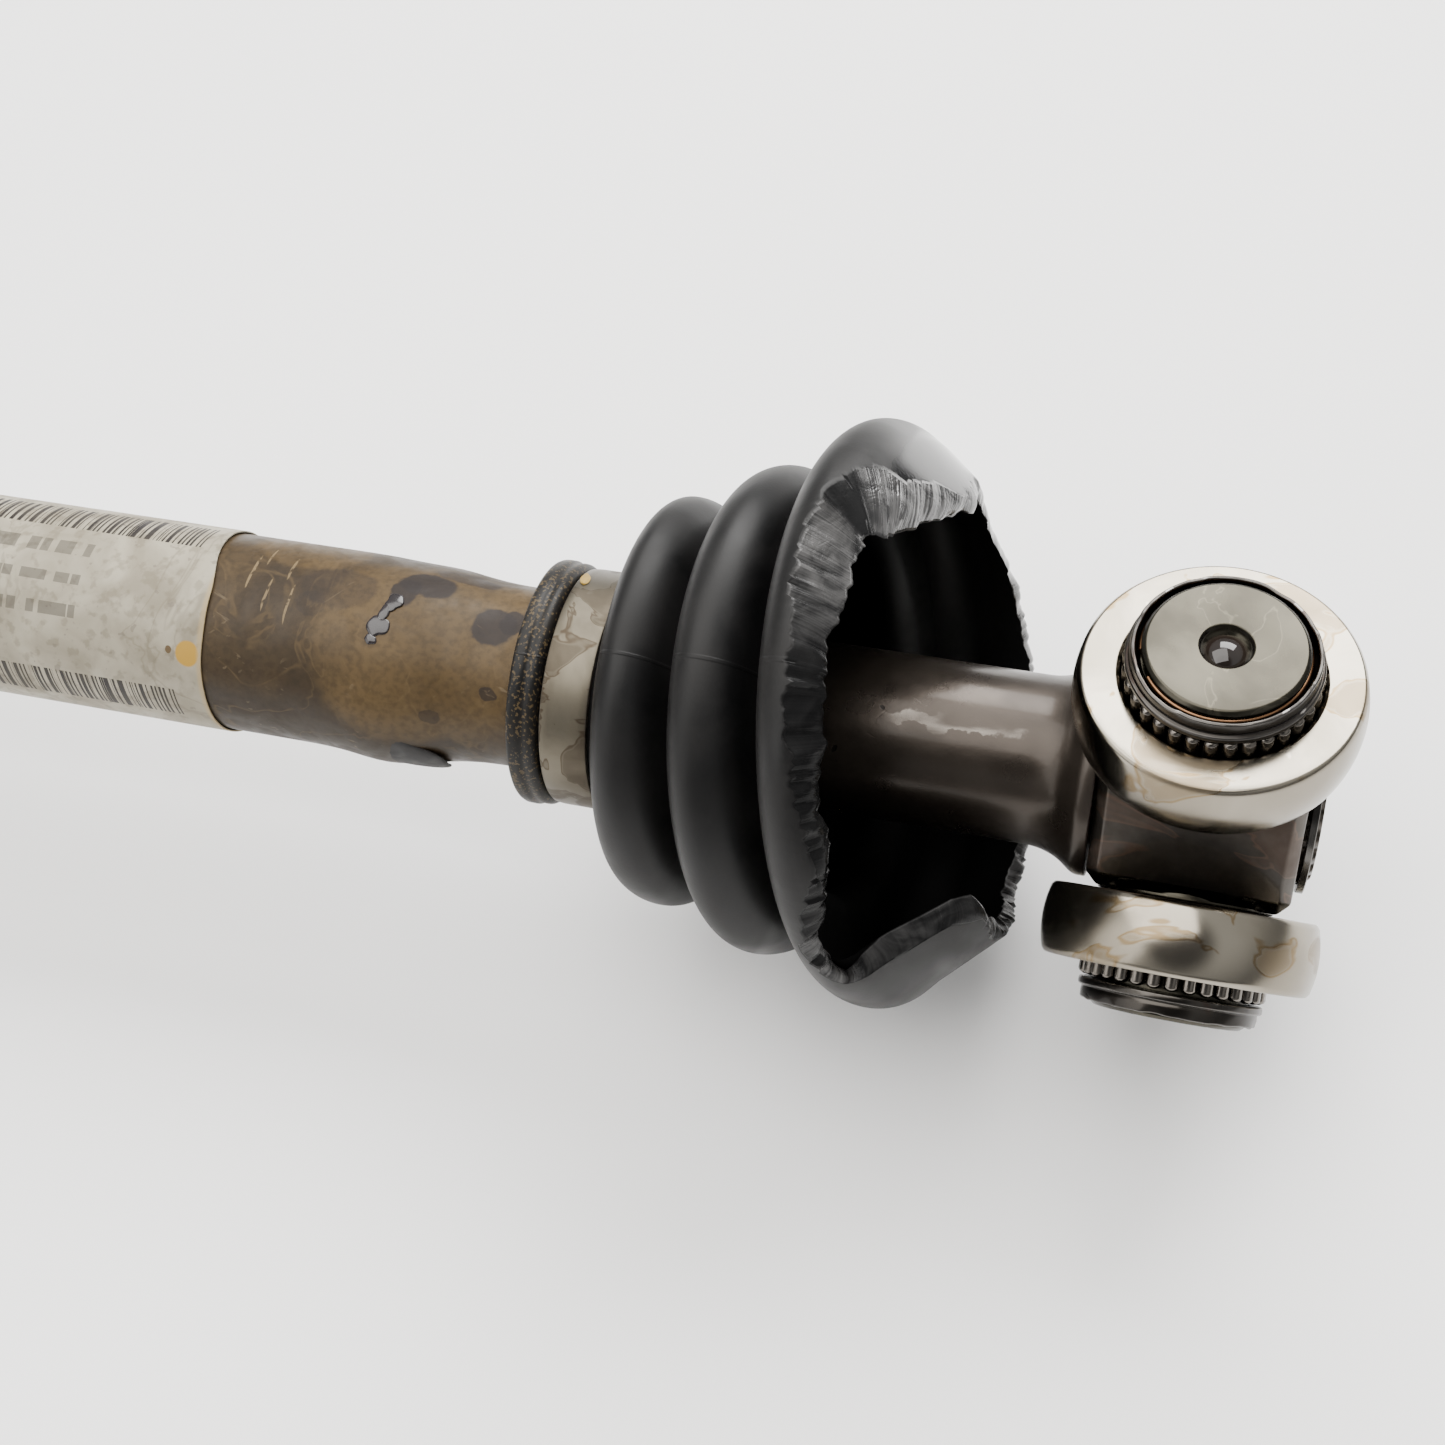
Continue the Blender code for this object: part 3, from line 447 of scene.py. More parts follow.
# ---- Shader building --------------------------------------------------------------------------------
class Graph:
    """Adds nodes to a material's or a group's node tree, and wires them as it goes."""

    def __init__(self, tree: Tree) -> None:
        """Keeps the node tree to build in."""
        self.tree = tree

    def node(self, kind: str, inputs: dict | None = None, **settings: object) -> Node:
        """Adds a node.

        Args:
            kind: the type of node.
            inputs: what to feed to its inputs, by name or number.
            settings: the node's own settings.
        Returns:
            The node.
        """
        node = self.tree.nodes.new(kind)
        for key, value in settings.items():
            setattr(node, key, value)
        for key, value in (inputs or {}).items():
            self.feed(node.inputs[key], value)
        return node

    def feed(self, socket: Socket, value: Value) -> None:
        """Wires a socket to another, or sets its value.

        Args:
            socket: the input to feed.
            value: a socket, a number, a vector or a colour.
        """
        if isinstance(value, Socket):
            self.tree.links.new(value, socket)
        elif isinstance(value, tuple) and len(value) == 3 and socket.type == "RGBA":
            socket.default_value = (*value, 1.0)
        else:
            socket.default_value = value

    def math(self, operation: str, first: Value, second: Value = 0.0, clamp: bool = False) -> Socket:
        """One operation on one or two numbers."""
        inputs = {0: first, 1: second}
        return self.node("ShaderNodeMath", inputs, operation=operation, use_clamp=clamp).outputs[0]

    def plus(self, first: Value, second: Value, clamp: bool = False) -> Socket:
        """The sum of two numbers."""
        return self.math("ADD", first, second, clamp)

    def minus(self, first: Value, second: Value, clamp: bool = False) -> Socket:
        """The first number less the second."""
        return self.math("SUBTRACT", first, second, clamp)

    def times(self, first: Value, second: Value) -> Socket:
        """The product of two numbers."""
        return self.math("MULTIPLY", first, second)

    def vector(self, operation: str, first: Value, second: Value = (0.0, 0.0, 0.0)) -> Socket:
        """One operation on one or two vectors; LENGTH and DOT_PRODUCT give a number."""
        node = self.node("ShaderNodeVectorMath", {0: first, 1: second}, operation=operation)
        return node.outputs["Value" if operation in ("LENGTH", "DOT_PRODUCT") else "Vector"]

    def mix(self, share: Value, first: Value, second: Value) -> Socket:
        """A colour between two colours."""
        return self.node("ShaderNodeMix", {0: share, 6: first, 7: second}, data_type="RGBA").outputs[2]

    def between(self, share: Value, low: float, high: float) -> Socket:
        """A number between two numbers."""
        inputs = {"Value": share, "To Min": low, "To Max": high}
        return self.node("ShaderNodeMapRange", inputs).outputs[0]

    def band(self, value: Value, low: float, high: float) -> Socket:
        """0 below low and 1 above high, smooth between; low may be above high."""
        inputs = {"Value": value, "From Min": low, "From Max": high}
        return self.node("ShaderNodeMapRange", inputs, interpolation_type="SMOOTHSTEP").outputs[0]

    def noise(self, place: Value, scale: Value, detail: float = 4.0, warp: float = 0.0) -> Socket:
        """Soft noise between about 0.2 and 0.8."""
        inputs = {"Vector": place, "Scale": scale, "Detail": detail, "Distortion": warp}
        return self.node("ShaderNodeTexNoise", inputs).outputs[0]

    def line_noise(self, along: Value, scale: float, detail: float) -> Socket:
        """Soft noise that changes along one number only."""
        inputs = {"W": along, "Scale": scale, "Detail": detail}
        return self.node("ShaderNodeTexNoise", inputs, noise_dimensions="1D").outputs[0]

    def place(self, stretch: Triple = (1.0, 1.0, 1.0)) -> Socket:
        """The point on the piece in the frame's axes, stretched."""
        spot = self.node("ShaderNodeTexCoord").outputs["Object"]
        return self.node("ShaderNodeMapping", {"Vector": spot, "Scale": stretch}).outputs[0]

    def axes(self) -> tuple[Socket, Socket, Socket]:
        """The x, y and z of the point on the piece."""
        split = self.node("ShaderNodeSeparateXYZ", {0: self.node("ShaderNodeTexCoord").outputs["Object"]})
        return split.outputs[0], split.outputs[1], split.outputs[2]

    def turn(self) -> Socket:
        """The point's turn about the shaft in radians, from +Z towards -Y."""
        _, y, z = self.axes()
        return self.math("ARCTAN2", self.times(y, -1.0), z)

    def off_turn(self, degrees: float) -> Socket:
        """How far the point is round the shaft from a turn in degrees, in radians."""
        return self.math("ABSOLUTE", self.minus(self.turn(), math.radians(degrees)))

    def side(self, degrees: float, low: float, high: float) -> Socket:
        """1 on the side of the shaft that looks towards a turn in degrees, 0 on the other sides."""
        return self.band(self.math("COSINE", self.minus(self.turn(), math.radians(degrees))), low, high)

    def spread(self, ragged: float) -> Socket:
        """Lays the shaft's surface out flat, with uneven shifts that make outlines ragged.

        Args:
            ragged: twice the largest shift, in metres.
        Returns:
            (x, turn, 0) of the point.
        """
        tube_radius, half, lump_scale = 0.015, (0.5, 0.5, 0.5), 320.0
        x, _, _ = self.axes()
        inputs = {"Vector": self.place(), "Scale": lump_scale, "Detail": 4.0}
        shift = self.vector("SUBTRACT", self.node("ShaderNodeTexNoise", inputs).outputs["Color"], half)
        scaled = self.vector("MULTIPLY", shift, (ragged, ragged / tube_radius, 0.0))
        flat = self.node("ShaderNodeCombineXYZ", {0: x, 1: self.turn()}).outputs[0]
        return self.vector("ADD", flat, scaled)

    def spot(self, spread: Value, x: float, up: float, length: float, width: float) -> Socket:
        """Marks an ellipse on the shaft.

        Args:
            spread: the place from spread().
            x: its centre, in metres from the tripod.
            up: its turn in degrees up from the side that faces out.
            length: half its length, in metres.
            width: half its width, in degrees.
        Returns:
            1 inside the ellipse and 0 outside.
        """
        centre = (TRIPOD_X + x, math.radians(FACING - up), 0.0)
        shares = (1 / length, 1 / math.radians(width), 0.0)
        scaled = self.vector("MULTIPLY", self.vector("SUBTRACT", spread, centre), shares)
        return self.band(self.vector("LENGTH", scaled), 1.1, 0.9)

    def attribute(self, name: str) -> Socket:
        """A number stored on the mesh's points."""
        return self.node("ShaderNodeAttribute", attribute_name=name).outputs["Fac"]

    def group(self, tree: Tree, **inputs: Value) -> Node:
        """Places a shared group; underscores in the input names stand for spaces."""
        named = {key.replace("_", " "): value for key, value in inputs.items()}
        return self.node("ShaderNodeGroup", named, node_tree=tree)


def new_group(name: str, inputs: dict[str, float], outputs: Sequence[str]) -> tuple[Tree, Graph]:
    """Starts a shared group, with a Place input beside its numbers.

    Args:
        name: the group's name.
        inputs: each number input with its default.
        outputs: the names of its number outputs.
    Returns:
        The empty group and its graph.
    """
    tree = bpy.data.node_groups.new(name, "ShaderNodeTree")
    tree.interface.new_socket("Place", in_out="INPUT", socket_type="NodeSocketVector")
    for key, value in inputs.items():
        socket = tree.interface.new_socket(key, in_out="INPUT", socket_type="NodeSocketFloat")
        socket.default_value = value
    for key in outputs:
        tree.interface.new_socket(key, in_out="OUTPUT", socket_type="NodeSocketFloat")
    return tree, Graph(tree)


class SharedEffects:
    """The node groups that several finishes use: each is built once."""

    def __init__(self) -> None:
        """Builds every group."""
        self.edge_wear_and_highlight = self._edge_wear_and_highlight()
        self.grain = self._grain()
        self.stains = self._stains()
        self.scratches = self._scratches()

    def _edge_wear_and_highlight(self) -> Tree:
        """Builds a mask that is 1 on outer edges, broken up by noise: worn edges, and a painted highlight
        where light catches them.

        Returns:
            The group.
        """
        tree, graph = new_group("edge_wear_and_highlight", {"Reach": 0.06, "Break Up": 0.5}, ("Mask",))
        source = graph.node("NodeGroupInput")
        point = graph.node("ShaderNodeNewGeometry").outputs["Pointiness"]
        rough = graph.noise(source.outputs["Place"], 420.0, 5.0)
        lift = graph.times(graph.minus(rough, 0.5), source.outputs["Break Up"])
        level = graph.plus(graph.minus(point, 0.515), graph.times(lift, 0.05))
        mask = graph.math("DIVIDE", level, source.outputs["Reach"], clamp=True)
        graph.node("NodeGroupOutput", {"Mask": mask})
        return tree

    def _grain(self) -> Tree:
        """Builds fine surface grain as a height, with a coarser mottle beside it.

        Returns:
            The group.
        """
        tree, graph = new_group("grain", {"Size": 900.0, "Mottle Size": 90.0}, ("Height", "Mottle"))
        source = graph.node("NodeGroupInput")
        place = source.outputs["Place"]
        height = graph.noise(place, source.outputs["Size"], 6.0)
        mottle = graph.band(graph.noise(place, source.outputs["Mottle Size"], 6.0, 0.6), 0.3, 0.7)
        graph.node("NodeGroupOutput", {"Height": height, "Mottle": mottle})
        return tree

    def _stains(self) -> Tree:
        """Builds dried stains with a soft body and a darker rim.

        Returns:
            The group.
        """
        tree, graph = new_group("stains", {"Size": 40.0, "Cover": 0.5}, ("Body", "Rim"))
        source = graph.node("NodeGroupInput")
        field = graph.noise(source.outputs["Place"], source.outputs["Size"], 3.0, 1.2)
        edge = graph.minus(1.0, source.outputs["Cover"])
        level = graph.minus(field, graph.plus(graph.times(edge, 0.5), 0.27))
        body = graph.band(level, 0.0, 0.05)
        rim = graph.times(graph.band(level, -0.012, 0.006), graph.band(level, 0.03, 0.006))
        graph.node("NodeGroupOutput", {"Body": body, "Rim": rim})
        return tree

    def _scratches(self) -> Tree:
        """Builds thin broken scratches in two directions.

        Returns:
            The group.
        """
        tree, graph = new_group("scratches", {"Size": 60.0, "Amount": 0.5}, ("Mask",))
        source = graph.node("NodeGroupInput")
        place, size = source.outputs["Place"], source.outputs["Size"]
        total = None
        for tilt in (25.0, -50.0):
            spin = graph.node("ShaderNodeVectorRotate", {"Vector": place, "Angle": math.radians(tilt)})
            long = graph.vector("MULTIPLY", spin.outputs[0], (0.06, 1.0, 1.0))
            line = graph.noise(long, graph.times(size, 12.0), 2.0)
            gate = graph.noise(place, size, 2.0)
            thin = graph.times(graph.band(line, 0.66, 0.74), graph.band(gate, 0.5, 0.6))
            total = thin if total is None else graph.math("MAXIMUM", total, thin)
        graph.node("NodeGroupOutput", {"Mask": graph.times(total, source.outputs["Amount"])})
        return tree


EFFECTS = SharedEffects()


def new_material(name: str) -> tuple[Finish, Graph, Node]:
    """Makes a material with a bare Principled shader.

    Args:
        name: the material's name.
    Returns:
        The material, its graph and its shader.
    """
    material = bpy.data.materials.new(name)
    material.use_nodes = True
    return material, Graph(material.node_tree), material.node_tree.nodes["Principled BSDF"]


def bumped(graph: Graph, shader: Node, height: Value, strength: float, depth: float) -> None:
    """Feeds a height to a shader's normal; depth is the height's size in metres."""
    bump = graph.node("ShaderNodeBump", {"Height": height, "Strength": strength, "Distance": depth})
    graph.feed(shader.inputs["Normal"], bump.outputs[0])


@dataclass(frozen=True)
class Steel:
    """Bare steel: ground, forged or sprung, with greasy stains, and outer edges lightened partly as wear and
    partly as a painted highlight.
    """

    name: str
    colour: Triple
    dark: Triple
    stain: Triple = (0.30, 0.20, 0.09)
    roughness: float = 0.25
    unevenness: float = 0.15
    stain_size: float = 45.0
    stain_cover: float = 0.35
    grain_size: float = 900.0
    grain_depth: float = 0.00002
    grain_strength: float = 0.25
    # how much the outer edges are lightened, as wear and as a painted highlight
    edge: float = 0.5
    worn: float = 0.6
    oil: float = 0.0

    def material(self) -> Finish:
        """Builds the material.

        Returns:
            The material.
        """
        material, graph, shader = new_material(self.name)
        place = graph.place()
        grain = graph.group(EFFECTS.grain, Place=place, Size=self.grain_size, Mottle_Size=70.0)
        stains = graph.group(EFFECTS.stains, Place=place, Size=self.stain_size, Cover=self.stain_cover)
        marks = graph.group(EFFECTS.scratches, Place=place, Size=55.0, Amount=self.worn)
        edges = graph.group(EFFECTS.edge_wear_and_highlight, Place=place, Reach=0.05, Break_Up=0.6)
        base = graph.mix(graph.times(grain.outputs["Mottle"], 0.85), self.colour, self.dark)
        tint = graph.times(stains.outputs["Body"], 0.45)
        base = graph.mix(tint, base, self.stain)
        base = graph.mix(graph.times(stains.outputs["Rim"], 0.75), base, self.stain)
        # Outer edges are lightened: partly worn bare metal, partly a painted highlight.
        bright = graph.times(edges.outputs["Mask"], self.edge)
        worn_and_highlit = tuple(min(1.0, part * 1.6 + 0.08) for part in self.colour)
        base = graph.mix(bright, base, worn_and_highlit)
        graph.feed(shader.inputs["Base Color"], base)
        shader.inputs["Metallic"].default_value = 1.0
        rough = graph.between(grain.outputs["Mottle"], self.roughness, self.roughness + self.unevenness)
        rough = graph.plus(rough, graph.times(stains.outputs["Body"], 0.12))
        rough = graph.minus(rough, graph.times(bright, 0.1))
        graph.feed(shader.inputs["Roughness"], rough)
        shader.inputs["Coat Weight"].default_value = self.oil
        shader.inputs["Coat Roughness"].default_value = 0.12
        height = graph.minus(grain.outputs["Height"], graph.times(marks.outputs["Mask"], 0.8))
        bumped(graph, shader, height, self.grain_strength, self.grain_depth)
        return material


@dataclass(frozen=True)
class Spot:
    """A mark on the tube, with its half sizes: lengths in metres and turns in degrees.

    Its place is x from the tripod, and up from the side that faces out.
    """

    x: float
    up: float
    length: float
    width: float
    strength: float = 1.0


DRIP = (
    Spot(-0.1163, 31, 0.0014, 5.5), Spot(-0.1172, 24, 0.0008, 6.0), Spot(-0.1176, 15, 0.0016, 6.5),
    Spot(-0.1182, 7, 0.0009, 3.0),
)


@dataclass(frozen=True)
class TubePaint:
    """Old brown paint on the tube with painted shade on its underside, oily bare steel on the shank with a
    painted highlight streak, and dark blotches between.
    """

    name: str = "old_brown_tube"
    golden: Triple = (0.080, 0.051, 0.0205)
    brown: Triple = (0.0245, 0.0165, 0.0088)
    blotch: Triple = (0.012, 0.0085, 0.0075)
    tide: Triple = (0.095, 0.062, 0.027)
    scored: Triple = (0.210, 0.150, 0.075)
    scuffed: Triple = (0.24, 0.18, 0.11)
    shank: Triple = (0.040, 0.032, 0.0255)
    oil_film: Triple = (0.022, 0.017, 0.0135)
    pit: Triple = (0.010, 0.008, 0.007)
    # the light colour of a painted highlight streak on the shank
    painted_highlight: Triple = (0.260, 0.238, 0.208)
    shank_start: float = TRIPOD_X - 0.084
    wheel_shank_start: float = WHEEL_X + 0.080
    warm_patches: tuple[Spot, ...] = (
        Spot(-0.1125, 8, 0.0150, 62), Spot(-0.1000, 0, 0.0080, 70), Spot(-0.1330, 70, 0.0090, 24),
    )
    blotches: tuple[Spot, ...] = (
        Spot(-0.1128, 50, 0.0042, 11), Spot(-0.1155, 40, 0.0022, 10), Spot(-0.1010, 28, 0.0033, 13),
        Spot(-0.0985, 34, 0.0020, 9), Spot(-0.1080, 66, 0.0050, 7, 0.7), Spot(-0.1255, 36, 0.0060, 14, 0.45),
        Spot(-0.1288, 22, 0.0022, 8, 0.35), Spot(-0.1000, -14, 0.0012, 5, 0.8),
        Spot(-0.1085, -34, 0.0015, 5, 0.6),
    )
    strokes: tuple[Spot, ...] = (
        Spot(-0.1396, 38, 0.00022, 13, 0.6), Spot(-0.1360, 24, 0.00020, 11, 0.55),
        Spot(-0.1338, 44, 0.00022, 9, 0.5), Spot(-0.1322, 20, 0.00020, 12, 0.55),
        Spot(-0.1381, 52, 0.00018, 8, 0.5),
    )
    # where the painted highlight streak lies on the shank
    highlight_patch: Spot = Spot(-0.0340, 14, 0.0095, 5.5)

    def paint(self, graph: Graph, fine: Node, coarse: Node) -> Socket:
        """Works out the tube's colour: brown and golden mottle, painted shade on the underside, tide marks,
        blotches and scored lines.

        Args:
            graph: the material's graph.
            fine: the fine grain.
            coarse: the coarse grain.
        Returns:
            The colour.
        """
        place = graph.place()
        spread = graph.spread(0.0022)
        warm = None
        for spot in self.warm_patches:
            size = graph.times(graph.spot(spread, spot.x, spot.up, spot.length, spot.width), 0.48)
            warm = size if warm is None else graph.math("MAXIMUM", warm, size)
        share = graph.plus(graph.times(coarse.outputs["Mottle"], 0.42), warm)
        # Painted shade: the tube's underside is pushed from golden towards brown.
        under = graph.side(FACING + 105, 0.2, 0.9)
        share = graph.minus(share, graph.times(under, 0.5), clamp=True)
        colour = graph.mix(share, self.brown, self.golden)
        speckle = graph.band(graph.noise(place, 1000.0, 8.0), 0.38, 0.70)
        colour = graph.mix(graph.times(speckle, 0.36), colour, tuple(part * 0.5 for part in self.brown))
        stains = graph.group(EFFECTS.stains, Place=place, Size=70.0, Cover=0.5)
        edge = graph.times(stains.outputs["Rim"], graph.times(fine.outputs["Mottle"], 0.36))
        colour = graph.mix(edge, colour, self.tide)
        for spot in self.blotches:
            mask = graph.spot(spread, spot.x, spot.up, spot.length, spot.width)
            colour = graph.mix(graph.times(mask, spot.strength * 0.92), colour, self.blotch)
        broken = graph.band(graph.noise(place, 1100.0, 2.0), 0.34, 0.52)
        close = graph.spread(0.0006)
        for spot in self.strokes:
            mask = graph.times(graph.spot(close, spot.x, spot.up, spot.length, spot.width), broken)
            colour = graph.mix(graph.times(mask, spot.strength), colour, self.scored)
        return colour

    def material(self) -> Finish:
        """Builds the material.

        Returns:
            The material.
        """
        material, graph, shader = new_material(self.name)
        place = graph.place()
        x, _, _ = graph.axes()
        coarse = graph.group(EFFECTS.grain, Place=place, Size=1400.0, Mottle_Size=60.0)
        fine = graph.group(EFFECTS.grain, Place=place, Size=600.0, Mottle_Size=260.0)
        marks = graph.group(EFFECTS.scratches, Place=place, Size=80.0, Amount=0.6)
        paint = self.paint(graph, fine, coarse)
        paint = graph.mix(graph.times(marks.outputs["Mask"], 0.35), paint, self.scuffed)
        bare = graph.band(x, self.shank_start - 0.002, self.shank_start + 0.002)
        wheel = graph.band(x, self.wheel_shank_start + 0.005, self.wheel_shank_start)
        bare = graph.math("MAXIMUM", bare, wheel)
        oily = graph.mix(graph.times(coarse.outputs["Mottle"], 0.6), self.shank, self.oil_film)
        pits = graph.band(graph.noise(place, 380.0, 1.0), 0.775, 0.80)
        oily = graph.mix(pits, oily, self.pit)
        # A painted highlight: a light streak along the top of the shank; the same mask also makes it
        # glossier.
        streak = graph.noise(graph.place((1.0, 3.0, 3.0)), 60.0, 5.0, 0.8)
        patch = self.highlight_patch
        highlight_spot = graph.spot(graph.spread(0.006), patch.x, patch.up, patch.length, patch.width)
        painted_highlight = graph.times(highlight_spot, graph.band(streak, 0.45, 0.70))
        oily = graph.mix(graph.times(painted_highlight, 0.36), oily, self.painted_highlight)
        graph.feed(shader.inputs["Base Color"], graph.mix(bare, paint, oily))
        graph.feed(shader.inputs["Metallic"], graph.between(bare, 0.05, 0.75))
        graph.feed(shader.inputs["Specular IOR Level"], graph.between(bare, 0.18, 0.40))
        matt = graph.between(fine.outputs["Mottle"], 0.38, 0.55)
        wet = graph.between(graph.band(graph.noise(place, 95.0, 5.0), 0.36, 0.66), 0.27, 0.42)
        rough = graph.node("ShaderNodeMix", {0: bare, 2: matt, 3: wet}, data_type="FLOAT").outputs[0]
        graph.feed(shader.inputs["Roughness"], graph.minus(rough, graph.times(painted_highlight, 0.12)))
        graph.feed(shader.inputs["Coat Weight"], graph.times(bare, 0.15))
        shader.inputs["Coat Roughness"].default_value = 0.14
        height = graph.plus(fine.outputs["Height"], graph.times(coarse.outputs["Height"], 0.5))
        height = graph.minus(height, marks.outputs["Mask"])
        bumped(graph, shader, graph.minus(height, graph.times(pits, 1.5)), 0.35, 0.00006)
        return material


@dataclass(frozen=True)
class BootRubber:
    """Black rubber: dusty satin outside, wet where torn, dust-free inside and painted darker there as shade,
    with dirt on the collar.
    """

    name: str = "black_rubber"
    rubber: Triple = (0.0028, 0.0028, 0.0030)
    dust: Triple = (0.014, 0.013, 0.0125)
    dirt: Triple = (0.105, 0.073, 0.034)
    shred: Triple = (0.105, 0.103, 0.102)
    fresh: Triple = (0.004, 0.004, 0.0042)
    # the inside's colour: no dust, and darker than the rubber itself as painted shade in the hollow
    lining: Triple = (0.0016, 0.0016, 0.0016)
    seam_turn: float = 23.5
    dirt_end: float = -1.0  # collar dirt lies on the wheel side of this place along the shaft
    glossy_from: float = 1.0  # wet gloss lies on the gearbox side of this place
    torn: bool = False

    def material(self) -> Finish:
        """Builds the material.

        Returns:
            The material.
        """
        material, graph, shader = new_material(self.name)
        place = graph.place()
        x, _, _ = graph.axes()
        grain = graph.group(EFFECTS.grain, Place=place, Size=2600.0, Mottle_Size=75.0)
        dusty = graph.times(grain.outputs["Mottle"], graph.noise(place, 26.0))
        raised = graph.side(FACING - 95, 0.1, 0.8)
        gloss = graph.times(graph.band(x, self.glossy_from - 0.004, self.glossy_from + 0.004), raised)
        dusty = graph.times(dusty, graph.between(gloss, 0.85, 0.3))
        base = graph.mix(dusty, self.rubber, self.dust)
        specks = graph.band(graph.noise(place, 1900.0, 3.0), 0.55, 0.62)
        collar = graph.band(x, self.dirt_end + 0.0006, self.dirt_end - 0.0004)
        dirty = graph.times(collar, graph.math("MAXIMUM", specks, graph.times(dusty, 0.3)))
        base = graph.mix(graph.times(dirty, 0.55), base, self.dirt)
        rough = graph.between(grain.outputs["Mottle"], 0.40, 0.54)
        rough = graph.minus(rough, graph.times(gloss, 0.20))
        wet = graph.band(graph.noise(graph.place((1.0, 0.6, 0.6)), 34.0, 3.0, 0.8), 0.56, 0.66)
        rough = graph.minus(rough, graph.times(wet, 0.16))
        seam = graph.band(graph.off_turn(self.seam_turn), 0.011, 0.004)
        height = graph.plus(graph.times(grain.outputs["Height"], 0.25), seam)
        sheen = graph.between(gloss, 0.20, 0.9)
        if self.torn:
            cut, inside, pale = (graph.attribute(name) for name in ("cut", "inside", "pale"))
            strand = graph.line_noise(graph.attribute("strand"), 26.0, 5.0)
            patchy = graph.noise(place, 210.0, 5.0, 1.2)
            light = graph.plus(graph.times(strand, 0.24), graph.times(patchy, 0.83))
            streaked = graph.times(graph.band(light, 0.36, 0.72), pale)
            # Painted shade: the inside takes a colour darker than the rubber outside, with no dust.
            base = graph.mix(inside, base, self.lining)
            base = graph.mix(cut, base, graph.mix(streaked, self.fresh, self.shred))
            rough = graph.plus(rough, graph.times(inside, 0.35))
            rough = graph.minus(rough, graph.times(cut, 0.22))
            sheen = graph.minus(sheen, graph.times(inside, 0.18))
            bright = graph.times(cut, graph.between(pale, -0.14, 0.22))
            sheen = graph.plus(sheen, bright, clamp=True)
            shreds = graph.times(graph.times(light, cut), graph.between(pale, 2.0, 9.0))
            height = graph.plus(height, shreds)
        graph.feed(shader.inputs["Base Color"], base)
        graph.feed(shader.inputs["Roughness"], rough)
        graph.feed(shader.inputs["Specular IOR Level"], sheen)
        bumped(graph, shader, height, 0.5, 0.00010)
        return material


@dataclass(frozen=True)
class LabelPaper:
    """Dirty off-white paper with two rows of plain bars and faint dashes, no lettering."""

    edge: float
    name: str = "printed_paper"
    paper: Triple = (0.320, 0.293, 0.225)
    grime: Triple = (0.120, 0.100, 0.067)
    fleck: Triple = (0.12, 0.10, 0.08)
    ink: Triple = (0.009, 0.0065, 0.007)
    dot: Triple = (0.340, 0.200, 0.030)
    crumb: Triple = (0.090, 0.060, 0.030)
    glue: Triple = (0.330, 0.240, 0.110)
    bars: tuple[tuple[float, float], ...] = ((-60, 12), (52, 11))
    bars_inset: float = 0.0050
    dashes: tuple[Triple, ...] = ((-33, 4.5, 420.0), (-14, 3.0, 520.0), (4, 3.6, 470.0))
    dashes_inset: float = 0.021

    def row(self, graph: Graph, offset: float, half: float) -> Socket:
        """A mask of a strip along the tube, at degrees from the side that faces out, with its half width."""
        return graph.math("LESS_THAN", graph.off_turn(FACING + offset), math.radians(half))

    def printed(self, graph: Graph, x: Socket) -> Socket:
        """Marks the ink: bars in two rows, and fainter dashes between.

        Args:
            graph: the material's graph.
            x: the place along the shaft.
        Returns:
            How much ink there is.
        """
        lines = graph.math("GREATER_THAN", graph.line_noise(x, 1500.0, 1.0), 0.5)
        rows = graph.math("MAXIMUM", *(self.row(graph, *bar) for bar in self.bars))
        inset = graph.math("LESS_THAN", x, self.edge - self.bars_inset)
        ink = graph.times(lines, graph.times(rows, inset))
        dash_inset = graph.math("LESS_THAN", x, self.edge - self.dashes_inset)
        for offset, half, size in self.dashes:
            dash = graph.math("GREATER_THAN", graph.line_noise(x, size, 0.0), 0.44)
            strip = graph.times(self.row(graph, offset, half), dash_inset)
            ink = graph.math("MAXIMUM", ink, graph.times(graph.times(dash, strip), 0.55))
        return ink

    def material(self) -> Finish:
        """Builds the material.

        Returns:
            The material.
        """
        material, graph, shader = new_material(self.name)
        place = graph.place()
        x, _, _ = graph.axes()
        grain = graph.group(EFFECTS.grain, Place=place, Size=1500.0, Mottle_Size=120.0)
        stains = graph.group(EFFECTS.stains, Place=place, Size=60.0, Cover=0.35)
        base = graph.mix(graph.times(grain.outputs["Mottle"], 0.55), self.paper, self.grime)
        base = graph.mix(graph.times(stains.outputs["Rim"], 0.35), base, self.grime)
        blots = graph.band(graph.noise(place, 560.0, 5.0), 0.50, 0.64)
        base = graph.mix(graph.times(blots, 0.42), base, self.grime)
        specks = graph.band(graph.noise(place, 520.0, 2.0), 0.68, 0.71)
        base = graph.mix(graph.times(specks, 0.5), base, self.fleck)
        faded = graph.times(self.printed(graph, x), graph.between(grain.outputs["Mottle"], 1.0, 0.86))
        base = graph.mix(faded, base, self.ink)
        close = graph.spread(0.0004)
        from_tripod = self.edge - TRIPOD_X
        base = graph.mix(graph.spot(close, from_tripod - 0.0021, -17, 0.0019, 7.4), base, self.dot)
        base = graph.mix(graph.spot(close, from_tripod - 0.0052, -16, 0.0005, 2.2), base, self.crumb)
        glue = graph.band(x, self.edge - 0.0009, self.edge - 0.0002)
        base = graph.mix(graph.times(glue, 0.6), base, self.glue)
        graph.feed(shader.inputs["Base Color"], base)
        graph.feed(shader.inputs["Roughness"], graph.between(grain.outputs["Mottle"], 0.42, 0.6))
        shader.inputs["Specular IOR Level"].default_value = 0.2
        bumped(graph, shader, grain.outputs["Height"], 0.3, 0.00005)
        return material


